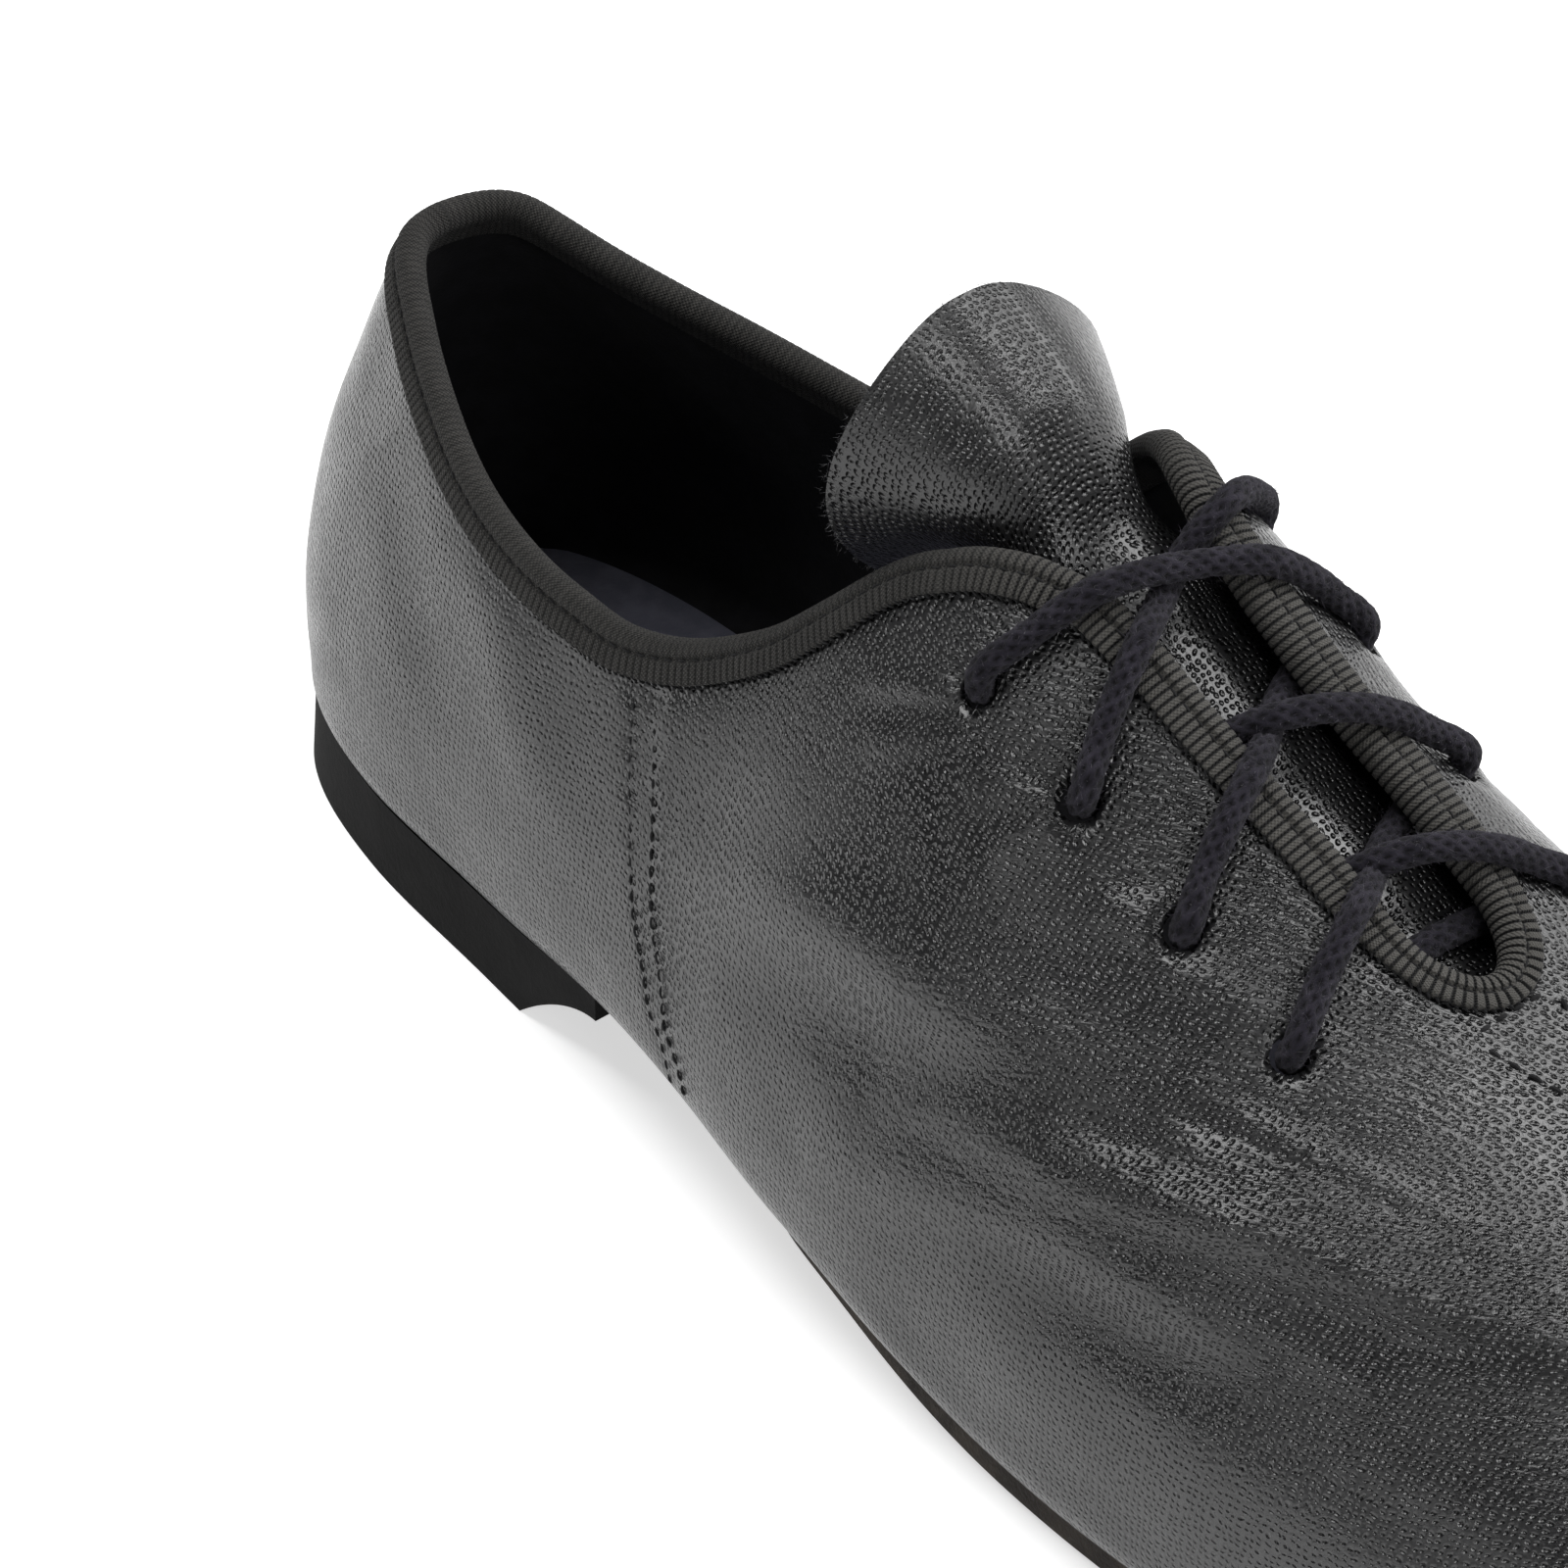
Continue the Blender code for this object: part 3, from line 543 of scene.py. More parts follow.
def rise_at_gap(turn, side, gap):
    """The rise at which the surface lies a given distance from the crown, to the side."""
    crown_y, edge_y, _, _, _, _, square = section(turn, side)
    out = np.clip(gap / np.maximum(np.abs(edge_y - crown_y), 1e-9), 0, 1)
    return np.degrees(np.arctan2((1 - out ** square) ** (1 / square), out))


def turn_at(distance):
    """The turn at a distance from the back of the heel."""
    return np.degrees(np.arccos(1 - 2 * np.asarray(distance, float) / LENGTH))


def distance_at(turn):
    """Distance from the back of the heel: half the length times (1 - cosine of the turn)."""
    return LENGTH / 2 * (1 - np.cos(np.radians(turn)))


def throat_half(turn):
    """Half the throat's width: a table along the foot, closed by a quarter ellipse."""
    share = np.clip((turn - THROAT_ROUND) / (THROAT_END - THROAT_ROUND), 0, 1)
    return THROAT_HALF * np.interp(turn, THROAT[:, 0], THROAT[:, 1]) * np.sqrt(1 - share ** 2)


def throat_shift(turn):
    """How far the throat's middle is moved to the outside of the foot."""
    start, full, fading, end = THROAT_SWING
    return THROAT_SHIFT * (ramp(turn, start, full) - ramp(turn, fading, end))


def top_rise(turn, side):
    """The rise of the top line: by height round the collar, by gap along the throat."""
    turn = np.asarray(turn, float)
    height = COLLAR_HEIGHT * spline(np.clip(turn, 0, COLLAR[-1, 0]), COLLAR[:, 0], COLLAR[:, 1])
    by_height = rise_at_height(turn, side, height)
    by_gap = rise_at_gap(turn, side, throat_half(turn) - side * throat_shift(turn))
    blend = ramp(turn, *COLLAR_BLEND)
    return np.where(turn >= THROAT_END, 90.0, by_height * (1 - blend) + by_gap * blend)


def bottom_rise(turn):
    """The rise of the lasting margin's edge: -90 where the leather runs on under the foot."""
    opened = sum(ramp(turn, a, b) - ramp(turn, c, d) for a, b, c, d in (HEEL_OPENING, SOLE_OPENING))
    return -90 + opened * (MARGIN_RISE + 90)


print("heel and toe:", last_point(0, 0, -1).round(4), last_point(180, 0, -1).round(4))

# %% [markdown]
# ## From grids to pieces
# Every new piece is a grid of points with quads between them. The helpers below number the quads as
# arrays, and turn points, quads, a map in metres and per-point masks into a mesh object.

# %% Mesh helpers


def grid_quads(rows, cols, wrap_rows=False, wrap_cols=False, first=0, flip=False):
    """Quad (i, j) has corners (i, j), (i, j+1), (i+1, j+1), (i+1, j); a wrapped side joins its ends."""
    i = np.arange(rows if wrap_rows else rows - 1)[:, None]
    j = np.arange(cols if wrap_cols else cols - 1)[None, :]
    next_i, next_j = (i + 1) % rows, (j + 1) % cols
    quads = np.stack([i * cols + j, i * cols + next_j, next_i * cols + next_j, next_i * cols + j], -1)
    quads = quads.reshape(-1, 4) + first
    return quads[:, ::-1] if flip else quads


def make_piece(name, points, faces, materials, uv=None, masks=None, solid=False, sharp=50.0):
    """A piece from points and faces, its doubles merged. solid turns a closed piece's faces outwards."""
    mesh = bpy.data.meshes.new(name)
    points = np.asarray(points).reshape(-1, 3)
    faces = faces.tolist() if isinstance(faces, np.ndarray) else faces
    mesh.from_pydata(points.tolist(), [], faces)
    if uv is not None:
        corners = np.empty(len(mesh.loops), np.int32)
        mesh.loops.foreach_get("vertex_index", corners)
        layer = mesh.uv_layers.new(name="metres")
        layer.data.foreach_set("uv", np.asarray(uv, np.float32).reshape(-1, 2)[corners].ravel())
    for label, values in (masks or {}).items():
        layer = mesh.attributes.new(label, "FLOAT", "POINT")
        layer.data.foreach_set("value", np.asarray(values, np.float32).ravel())
    bm = bmesh.new()
    bm.from_mesh(mesh)
    bmesh.ops.remove_doubles(bm, verts=bm.verts, dist=1e-7)
    if solid:
        bmesh.ops.recalc_face_normals(bm, faces=bm.faces)
    bm.to_mesh(mesh)
    bm.free()
    mesh.shade_smooth()
    mesh.set_sharp_from_angle(angle=math.radians(sharp))
    for material in materials:
        mesh.materials.append(material)
    piece = bpy.data.objects.new(name, mesh)
    scene.collection.objects.link(piece)
    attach(piece, "root")
    print(name, "faces:", len(mesh.polygons))
    return piece


def slab_faces(rows, cols):
    """Quads of a closed slab: a top grid, a bottom grid after it, and a wall round their edge."""
    below = rows * cols
    number = np.arange(below).reshape(rows, cols)
    loop = np.concatenate([number[0, :-1], number[:-1, -1], number[-1, :0:-1], number[:0:-1, 0]])
    after = np.roll(loop, -1)
    wall = np.stack([loop, after, after + below, loop + below], -1)
    return np.concatenate([grid_quads(rows, cols), grid_quads(rows, cols, first=below, flip=True),
                           wall[:, ::-1]])


def waves(points, seed, length, count=14):
    """A gentle unevenness from -1 to 1: the mean of sine waves that run in random directions."""
    random = np.random.default_rng(seed)
    runs = unit(random.normal(size=(count, 3))) * 2 * math.pi / (length * random.uniform(.7, 1.5, (count, 1)))
    phases = random.uniform(0, 2 * math.pi, count)
    return np.sin(points @ runs.T + phases).sum(-1) / math.sqrt(count)


# %% [markdown]
# ## Creases
# Soft leather pulled over a last gathers into long folds across the vamp and short puckers below
# the lace holes. They could be sculpted or simulated; here each one is given as a path over the last
# with a height and a width, because the eye knows this shoe by where its folds lie. A crease lifts
# the surface along its normal by a bell curve of the distance to its path.

# %% Table of creases
MM = 0.001
CREASES = [
    # side, height and width in mm, skew, then turn and rise along the path
    (-1, 2.5, 4.0, 0.3, [(90, 17), (95, 25), (103, 34), (109, 43), (114, 50), (119, 55), (124, 61),
                         (130, 67)]),
    (-1, -0.7, 1.9, 0.0, [(99, 35), (104, 41), (110, 49), (115, 55), (120, 60), (126, 66)]),
    (-1, 0.4, 1.2, 0.0, [(103, 42), (107, 47), (112, 54), (117, 59), (122, 65)]),
    (-1, -0.4, 0.9, 0.0, [(104, 47), (109, 53), (114, 59), (119, 64)]),
    (-1, 0.4, 1.0, 0.0, [(105, 51), (110, 57), (115, 62), (120, 67)]),
    (-1, 1.3, 4.5, 0.0, [(72, 16), (78, 21), (84, 26), (90, 31), (96, 38), (101, 44), (106, 52)]),
    (-1, -1.2, 4.4, 0.0, [(78, 10), (84, 16), (90, 21), (95, 27), (100, 33)]),
    (-1, 1.2, 4.0, 0.0, [(86, 5), (91, 11), (96, 18), (101, 25), (107, 30), (113, 35), (120, 42)]),
    (-1, -1.0, 4.0, 0.0, [(98, 12), (104, 19), (110, 25), (116, 33), (124, 44)]),
    (-1, -0.8, 6.0, 0.0, [(36, 37), (41, 30), (46, 21), (52, 12)]),
    (-1, 0.7, 6.0, 0.0, [(48, 34), (54, 27), (60, 16), (66, 8)]),
    (-1, 0.5, 1.6, 0.0, [(81, 50), (84, 54), (87, 58)]),
    (-1, -0.4, 1.2, 0.0, [(82, 47), (85, 52), (88, 57)]),
    (-1, 0.5, 1.6, 0.0, [(83, 44), (85, 49), (88, 55)]),
    (-1, 0.5, 1.5, 0.0, [(88, 50), (91, 55), (94, 59)]),
    (-1, 0.5, 1.6, 0.0, [(91, 45), (92, 52), (94, 58)]),
    (-1, 0.5, 2.0, 0.0, [(96, 54), (98, 58), (100, 62)]),
    (-1, 0.5, 2.0, 0.0, [(100, 56), (103, 61), (106, 65)]),
    (-1, 0.6, 2.2, 0.0, [(108, 74), (110, 79), (112, 82)]),
    (1, 1.4, 3.2, 0.3, [(92, 22), (99, 31), (106, 41), (113, 50), (120, 57), (127, 64)]),
    (1, -0.8, 2.0, 0.0, [(100, 40), (107, 48), (114, 56), (121, 63)]),
    (1, 1.0, 4.0, 0.0, [(80, 18), (87, 26), (95, 36), (102, 45)]),
    (1, -1.0, 3.4, 0.0, [(84, 12), (92, 21), (100, 31)]),
    (1, 0.9, 4.0, 0.0, [(96, 12), (104, 22), (112, 32), (121, 44)]),
    (1, -0.7, 5.0, 0.0, [(38, 36), (44, 27), (50, 16)]),
    (1, 0.5, 5.0, 0.0, [(50, 32), (57, 24), (64, 14)]),
    (1, 0.5, 1.6, 0.0, [(82, 46), (85, 50), (87, 54)]),
    (1, 0.5, 1.6, 0.0, [(88, 44), (91, 49), (94, 53)]),
    (1, 0.5, 1.8, 0.0, [(95, 44), (98, 49), (100, 53)]),
]
print("creases:", len(CREASES))

# %% Lift of the creases


def nearest_on(points, path):
    """Distance from each point to a polyline, which way it lies, and how far along the nearest spot is."""
    start, run = path[:-1], np.diff(path, axis=0)
    offset = points[:, None] - start
    share = np.clip((offset * run).sum(-1) / (run ** 2).sum(-1), 0, 1)
    offset = offset - share[..., None] * run
    distance = np.linalg.norm(offset, axis=-1)
    nearest = distance.argmin(1)
    pick = np.arange(len(points)), nearest
    return distance[pick], offset[pick], (nearest + share[pick]) / len(run)


def crease_lift(points):
    """Sum over the creases of height times exp(-(distance / width) squared), tapered at both ends."""
    flat = points.reshape(-1, 3)
    lift = np.zeros(len(flat))
    for side, height, width, skew, knots in CREASES:
        turns, rises = np.array(knots, float).T
        steps = np.linspace(0, len(knots) - 1, 6 * len(knots))
        numbers = np.arange(len(knots))
        turns, rises = spline(steps, numbers, turns), spline(steps, numbers, rises)
        path = last_point(turns, rises, side)
        uphill = unit(slopes_at(turns, rises, side)[1]).mean(0)
        reach = 3.2 * width * MM * (1 + abs(skew))
        near = ((flat > path.min(0) - reach) & (flat < path.max(0) + reach)).all(1)
        distance, offset, along = nearest_on(flat[near], path)
        spread = width * MM * (1 + skew * np.sign(offset @ uphill))
        taper = np.sin(np.clip(along, 0, 1) * math.pi) ** 0.7
        lift[near] += height * MM * taper * np.exp(-(distance / spread) ** 2)
    return lift.reshape(points.shape[:-1])


# %% [markdown]
# ## The upper
# The upper is one skin of leather with a real wall. Two grids, one for each side of the foot, share
# the crown and the sole line. Their rows crowd where the lace holes are. The map in metres runs
# along the widest line and up each section, so that the grain keeps its size.

# %% Grid of the upper
EYELET_RADIUS = 0.0019
EYELET_PITCH = 0.0142
EYELET_LAST = 0.0070
EYELET_OUTER = 0.0206
EYELET_INNER = 0.0162
EYELET_PAIRS = 4
LOWEST = -53.0


def eyelet(pair, side):
    """Turn and rise of a lace hole, counted from the top of the throat."""
    turn = float(turn_at(distance_at(THROAT_END) - EYELET_LAST - (EYELET_PAIRS - 1 - pair) * EYELET_PITCH))
    return turn, float(rise_at_gap(turn, side, EYELET_OUTER if side < 0 else EYELET_INNER))


def upper_turns():
    """Stations along the foot: even steps, closer round the throat's end and at the lace holes."""
    even = [np.linspace(0, 70, 78), np.linspace(70.6, 104.5, 56), np.linspace(105, 111, 14),
            np.linspace(111.6, 152, 62), np.linspace(153, 180, 36)]
    holes = [eyelet(pair, -1)[0] + np.linspace(-.9, .9, 5) for pair in range(EYELET_PAIRS)]
    return np.unique(np.round(np.concatenate([*even, *holes, [THROAT_END]]), 3))


def upper_rises(turns, side):
    """Rises of the rows: margin to LOWEST, LOWEST to the widest line, then shares of the top line."""
    bottom, top = bottom_rise(turns)[:, None], top_rise(turns, side)[:, None]
    margin = bottom + (LOWEST - bottom) * np.linspace(0, 1, 6)[None, :-1]
    lower = np.broadcast_to(np.linspace(LOWEST, 0, 18)[None, :-1], (len(turns), 17))
    shares = np.linspace(0, 1, 64) ** 0.93
    return np.concatenate([margin, lower, top * shares[None]], axis=1)


TURNS = upper_turns()
WIDEST_ROW = 22
print("upper's grid:", len(TURNS), "by", upper_rises(TURNS, -1).shape[1])

# %% [markdown]
# ## Seams
# Two rows of stitches hold the quarter to the vamp on each side, and a three-cornered patch of
# stitches on the vamp holds the tongue. The rows could be spaced by a rule. Their places are given
# here point by point, because they lean with the pull of the leather.

# %% Places of the seams
SEAM_BACK = [(66.5, 30.5), (67.6, 23), (69, 16), (70.6, 8), (72.8, 1), (74.4, -12), (75, -30)]
SEAM_FRONT = [(68, 31.5), (69.2, 25), (70.6, 17.5), (72.1, 9.5), (74.2, 2.5), (75.8, -12), (76.5, -30)]
TONGUE_PATCH = [(0.1700, -0.0066), (0.1700, 0.0048), (0.1830, -0.0008)]


def seam_line(knots, side, depth=0.0, count=160):
    """A line over the last through turns and rises, with its normals."""
    turns, rises = np.array(knots, float).T
    steps, numbers = np.linspace(0, len(knots) - 1, count), np.arange(len(knots))
    t, r = spline(steps, numbers, turns), spline(steps, numbers, rises)
    return skin(t, r, side, depth + 0 * t), normal_at(t, r, side)


def patch_side(start, end, count=40):
    """A straight line over the crown between two places, by distance and signed gap."""
    share = np.linspace(0, 1, count)
    distance, gap = (a + (b - a) * share for a, b in zip(start, end))
    turns = turn_at(distance)
    sides = np.where(gap < 0, -1, 1)
    rises = np.where(gap < 0, rise_at_gap(turns, -1, np.abs(gap)), rise_at_gap(turns, 1, np.abs(gap)))
    return by_side(last_point, turns, rises, sides), by_side(normal_at, turns, rises, sides)


def by_side(function, turns, rises, sides, *rest):
    """Calls a function of the last for points that lie on both sides."""
    outer, inner = function(turns, rises, -1, *rest), function(turns, rises, 1, *rest)
    pick = (sides < 0).reshape(sides.shape + (1,) * (np.ndim(outer) - np.ndim(sides)))
    return np.where(pick, outer, inner)


def seam_mask(points):
    """0.6 on the band between two rows of stitches, fading out beside it to 0. It sinks the band and paints
    shade on it.
    """
    flat = points.reshape(-1, 3)
    mask = np.zeros(len(flat))
    for side in (-1, 1):
        rows = [seam_line(knots, side)[0] for knots in (SEAM_BACK, SEAM_FRONT)]
        near = ((flat > rows[0].min(0) - 4 * MM) & (flat < rows[1].max(0) + 4 * MM)).all(1)
        gaps = [nearest_on(flat[near], row[::4])[0] for row in rows]
        width = np.linalg.norm(rows[0][80] - rows[1][80])
        between = 1 - ramp(gaps[0] + gaps[1], width * 1.1, width * 1.6)
        mask[near] = np.maximum(mask[near], 0.6 * between)
    return mask.reshape(points.shape[:-1])


# %% Shape and map of the upper


def edge_distance(points):
    """Distance from each point to the top line, as the nearest of many points along it."""
    turns = np.linspace(0, THROAT_END, 260)
    line = np.concatenate([last_point(turns, top_rise(turns, side), side) for side in (-1, 1)])
    flat = points.reshape(-1, 3)
    square = (flat ** 2).sum(1)[:, None] + (line ** 2).sum(1)[None] - 2 * flat @ line.T
    return np.sqrt(np.maximum(square.min(1), 0)).reshape(points.shape[:-1])


HOLE_RING = (0.16 * MM, 3.4 * MM, 1.4 * MM)      # height, radius and width of the soft ring
HOLE_DIP = (0.35 * MM, 0.6 * MM)                 # depth and width of the dip at the hole's edge


def hole_dimples(points):
    """Round each lace hole the leather dips towards it and lifts in a soft ring."""
    height, radius, width = HOLE_RING
    depth, dip_width = HOLE_DIP
    lift = np.zeros(points.shape[:-1])
    for side in (-1, 1):
        for pair in range(EYELET_PAIRS):
            turn, rise = eyelet(pair, side)
            distance = np.linalg.norm(points - last_point(turn, rise, side), axis=-1)
            lift += height * np.exp(-((distance - radius) / width) ** 2)
            lift -= depth * np.exp(-((distance - EYELET_RADIUS) / dip_width) ** 2)
    return lift


def shaped_skin(turns, rises, side):
    """The last's surface, lifted along its normal by creases, dimples and a gentle unevenness."""
    base = last_point(turns, rises, side)
    free = ramp(edge_distance(base), 0.0005, 0.007) * ramp(rises, -45, -20)
    lift = crease_lift(base) * free + hole_dimples(base) + 0.16 * MM * waves(base, 3, 0.022) * free
    return base + normal_at(turns, rises, side) * lift[..., None], lift


def section_map(points):
    """Distance up each section from the widest line, and along the widest line from the heel."""
    steps = np.linalg.norm(np.diff(points, axis=1), axis=2)
    up_way = np.concatenate([np.zeros((len(points), 1)), steps.cumsum(1)], axis=1)
    up_way -= up_way[:, WIDEST_ROW:WIDEST_ROW + 1]
    return up_way, way_along(points[:, WIDEST_ROW])


def upper_grids():
    """Points, map and masks of both halves, made equal where the halves meet."""
    t = TURNS[:, None]
    rises = {side: upper_rises(TURNS, side) for side in (-1, 1)}
    plain = {side: last_point(t, rises[side], side) for side in (-1, 1)}
    shaped = {side: shaped_skin(t + 0 * rises[side], rises[side], side) for side in (-1, 1)}
    points = {side: shaped[side][0] for side in (-1, 1)}
    for where in (np.s_[TURNS >= THROAT_END, -1], np.s_[bottom_rise(TURNS) <= -90 + 1e-9, 0],
                  np.s_[0, :], np.s_[-1, :]):
        shared = (points[-1][where] + points[1][where]) / 2
        points[-1][where] = shared
        points[1][where] = shared
    maps = {side: section_map(plain[side]) for side in (-1, 1)}
    along = (maps[-1][1] + maps[1][1]) / 2
    end = int(np.searchsorted(TURNS, THROAT_END))
    whole = maps[-1][0][:, -1] + maps[1][0][:, -1]
    outer_v = maps[-1][0]
    inner_v = whole[np.maximum(np.arange(len(TURNS)), end)][:, None] - maps[1][0]
    uv = {side: np.stack([along[:, None] + 0 * v, v], -1) for side, v in ((-1, outer_v), (1, inner_v))}
    return points, uv, {side: shaped[side][1] for side in (-1, 1)}


def cut_holes(points, quads):
    """Drops the quads inside each lace hole and draws the hole's rim onto its circle."""
    flat = points.reshape(-1, 3)
    keep = np.ones(len(quads), bool)
    for side in (-1, 1):
        for pair in range(EYELET_PAIRS):
            turn, rise = eyelet(pair, side)
            centre, normal = last_point(turn, rise, side), normal_at(turn, rise, side)
            inside = np.linalg.norm(flat[quads].mean(1) - centre, axis=1) < EYELET_RADIUS
            keep &= ~inside
            rim = np.intersect1d(quads[inside], quads[keep])
            offset = flat[rim] - centre
            height = (offset @ normal)[:, None] * normal
            flat[rim] = centre + height + unit(offset - height) * EYELET_RADIUS
    return flat, quads[keep]


# %% Build the upper


def build_upper():
    """One skin of both halves, its holes cut, with a wall from a Solidify modifier."""
    points, uv, lifts = upper_grids()
    rows, cols = points[-1].shape[:2]
    quads = np.concatenate([grid_quads(rows, cols, flip=True), grid_quads(rows, cols, first=rows * cols)])
    flat, quads = cut_holes(np.stack([points[-1], points[1]]), quads)
    toe = np.broadcast_to(ramp(TURNS, 148, 158)[:, None], (rows, cols))
    zone = ramp(TURNS, 74, 92)[:, None] * (1 - ramp(TURNS, 128, 150)[:, None])
    near = [1 - ramp(edge_distance(points[side]), 0.004, 0.019) for side in (-1, 1)]
    creased = [zone * np.clip(0.2 + 0.8 * some + np.abs(lifts[side]) / (1.6 * MM), 0, 1)
               for side, some in zip((-1, 1), near)]
    # the seam mask sinks the band between the stitch rows and paints shade on it
    seams = [seam_mask(points[side]) for side in (-1, 1)]
    piece = make_piece("leather_upper", flat, quads, [LEATHER, LINING],
                       uv=np.stack([uv[-1], uv[1]]),
                       masks={"toe": np.stack([toe, toe]), "creased": np.stack(creased),
                              "seam": np.stack(seams)})
    wall = piece.modifiers.new("wall", "SOLIDIFY")
    wall.thickness = UPPER_WALL
    wall.offset = -1
    wall.material_offset = 1
    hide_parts("upper")


build_upper()

# %% [markdown]
# ## The tape round the top line
# The raw edge of the leather is bound: a ribbed tape is folded over it and stitched through. The
# tape is a profile carried along the whole top line, from the heel round both sides of the throat.
# The profile has a leg on each face of the leather and a full roll over its edge.

# %% Line of the tape
TAPE_WALL = 0.0006
TAPE_GAP = 0.0002
TAPE_STEPS = 6          # stations to a rib
TAPE_SHORT = 0.35       # how much shorter the legs are round the end of the throat


def top_line(step):
    """Turn, rise and side at even steps along the top line, out along one edge and back along the other.

    The line is sampled closely, its length is summed, and even lengths are read back as turns.
    """
    dense = THROAT_END * (1 - (1 - np.linspace(0, 1, 6000)) ** 2)
    turns, rises, sides = [], [], []
    for side in (-1, 1):
        line = last_point(dense, top_rise(dense, side), side)
        way = way_along(line)
        count = int(round(way[-1] / step))
        t = np.interp(np.linspace(0, way[-1], count + 1), way, dense)
        t = t if side < 0 else t[::-1][1:-1]
        turns.append(t)
        rises.append(top_rise(t, side))
        sides.append(0 * t + side)
    return np.concatenate(turns), np.concatenate(rises), np.concatenate(sides)


def edge_frames(turns, rises, sides):
    """Line, surface normal, the way down the surface, and that way as steps of turn and rise.

    Turn and rise are not at right angles, so the two steps solve a pair of equations at each station.
    """
    line = by_side(last_point, turns, rises, sides)
    run = unit(np.roll(line, -1, 0) - np.roll(line, 1, 0))
    normal = by_side(normal_at, turns, rises, sides)
    down = unit(np.cross(run, normal))
    t = np.clip(turns, .2, 179)
    both = zip(slopes_at(t, rises, -1), slopes_at(t, rises, 1))
    along, around = (np.where(sides[:, None] < 0, outer, inner) for outer, inner in both)
    a11, a12, a22 = (along ** 2).sum(1), (along * around).sum(1), (around ** 2).sum(1)
    b1, b2 = (along * down).sum(1), (around * down).sum(1)
    det = a11 * a22 - a12 ** 2
    return line, normal, down, (a22 * b1 - a12 * b2) / det, (a11 * b2 - a12 * b1) / det


def tape_stations(turns, rises, sides):
    """Line, normal and way down of the tape, and its stations in the form that leg_point takes."""
    line, normal, down, step_turn, step_rise = edge_frames(turns, rises, sides)
    length = 1 - TAPE_SHORT * ramp(turns, 103, 108)
    return line, normal, down, (turns, rises, sides, step_turn * length, step_rise * length)


LINE_TURNS, LINE_RISES, LINE_SIDES = top_line(RIB_PITCH / TAPE_STEPS)
print("stations of the tape:", len(LINE_TURNS))

# %% Build the tape


def leg_point(drop, depth, turns, rises, sides, step_turn, step_rise):
    """A point of the tape's leg: a drop down the surface from the top line, at a depth from it."""
    t = np.abs(turns + step_turn * drop)
    r = np.minimum(rises + step_rise * drop, 90)
    return by_side(skin, t, r, sides, depth)


# drop from the top line and puff above the wall in mm, and how much of the ribs' relief shows
OUTER_LEG = ((3.05, -.45, .2), (3.0, -.1, .8), (2.7, .05, 1), (2.2, .05, 1), (1.7, .05, 1),
             (1.2, .03, 1), (.85, 0, .8), (.55, -.22, .3), (.25, -.12, .3))


def build_tape():
    """Profile points in order: outer leg from its hem up, roll, inner leg down, then back inside."""
    line, normal, down, where = tape_stations(LINE_TURNS, LINE_RISES, LINE_SIDES)
    rib = np.arange(len(LINE_TURNS)) / TAPE_STEPS
    ridge = 1 - 2 * np.clip(np.cos(2 * math.pi * rib), 0, 1) ** 4
    throat = ramp(LINE_TURNS, 80, 90)
    outside = TAPE_GAP + TAPE_WALL
    radius = UPPER_WALL / 2 + outside
    centre = line - normal * UPPER_WALL / 2
    rows, across = [], []
    for drop, puff, relief in OUTER_LEG:
        height = outside + puff * MM + relief * (.07 + .09 * throat) * MM * ridge
        rows.append(leg_point(drop * MM, -height, *where))
        across.append(-drop * MM)
    for angle in np.radians(np.linspace(0, 180, 13)):
        swell = radius + (.12 + .03 * math.sin(angle)) * MM + (.03 + .11 * throat) * MM * ridge
        rows.append(centre + swell[:, None] * (math.cos(angle) * normal - math.sin(angle) * down))
        across.append(radius * angle)
    for drop in (0.8, 1.9, 3.0):
        rows.append(leg_point(drop * MM, UPPER_WALL + outside + .03 * MM * ridge, *where))
        across.append(radius * math.pi + drop * MM)
    for drop in (3.0, 1.2):
        rows.append(leg_point(drop * MM, UPPER_WALL + TAPE_GAP + 0 * ridge, *where))
        across.append(radius * math.pi + 4 * MM)
    for angle in np.radians((180, 120, 60, 0)):
        inner_radius = radius - TAPE_WALL
        rows.append(centre + inner_radius * (math.cos(angle) * normal - math.sin(angle) * down))
        across.append(0)
    for drop in (1.2, 3.0):
        rows.append(leg_point(drop * MM, -TAPE_GAP + 0 * ridge, *where))
        across.append(-3.2 * MM)
    points = np.stack(rows, axis=1)
    uv = np.stack(np.broadcast_arrays(rib[:, None] * RIB_PITCH, np.array(across)[None]), -1)
    quads = grid_quads(*points.shape[:2], wrap_rows=True, wrap_cols=True)
    # the throat mask deepens the ribs there; in the tape's material it paints light on the tape and deeper
    # shade in its grooves
    piece = make_piece("top_tape", points, quads, [TAPE], uv=uv, solid=True,
                       masks={"throat": np.broadcast_to(throat[:, None], points.shape[:2])})
    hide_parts("collar_binding")


build_tape()

# %% [markdown]
# ## Stitches
# A machine stitch is a short piece of thread that dips into the material at both ends. Hundreds of
# them are made in one go: every stitch is the same few rings of points, laid along a line by arrays.

# %% Rows of stitches
# pitch, length, radius and bow of a stitch in mm, and how far it slants
SEAM_THREAD = (1.75, 1.4, .14, .12, 0)
PATCH_THREAD = (2.2, 1.7, .24, .22, 0)
# the same after the drop from the top line and the height above the leather
TAPE_ROWS = ((0.55, .66, (1.9, 1.2, .12, .08, .10)), (3.05, .30, (.92, .85, .20, .10, .55)))


def ring(angles, first, second):
    """Points of circles: cos(angle) times the first direction plus sin(angle) times the second."""
    return (np.cos(angles)[:, None] * first[..., None, :]
            + np.sin(angles)[:, None] * second[..., None, :])


def copies(quads, count, size):
    """The quads of one small mesh of size points, numbered for count copies of it."""
    return (np.arange(count)[:, None, None] * size + quads[None]).reshape(-1, 4)


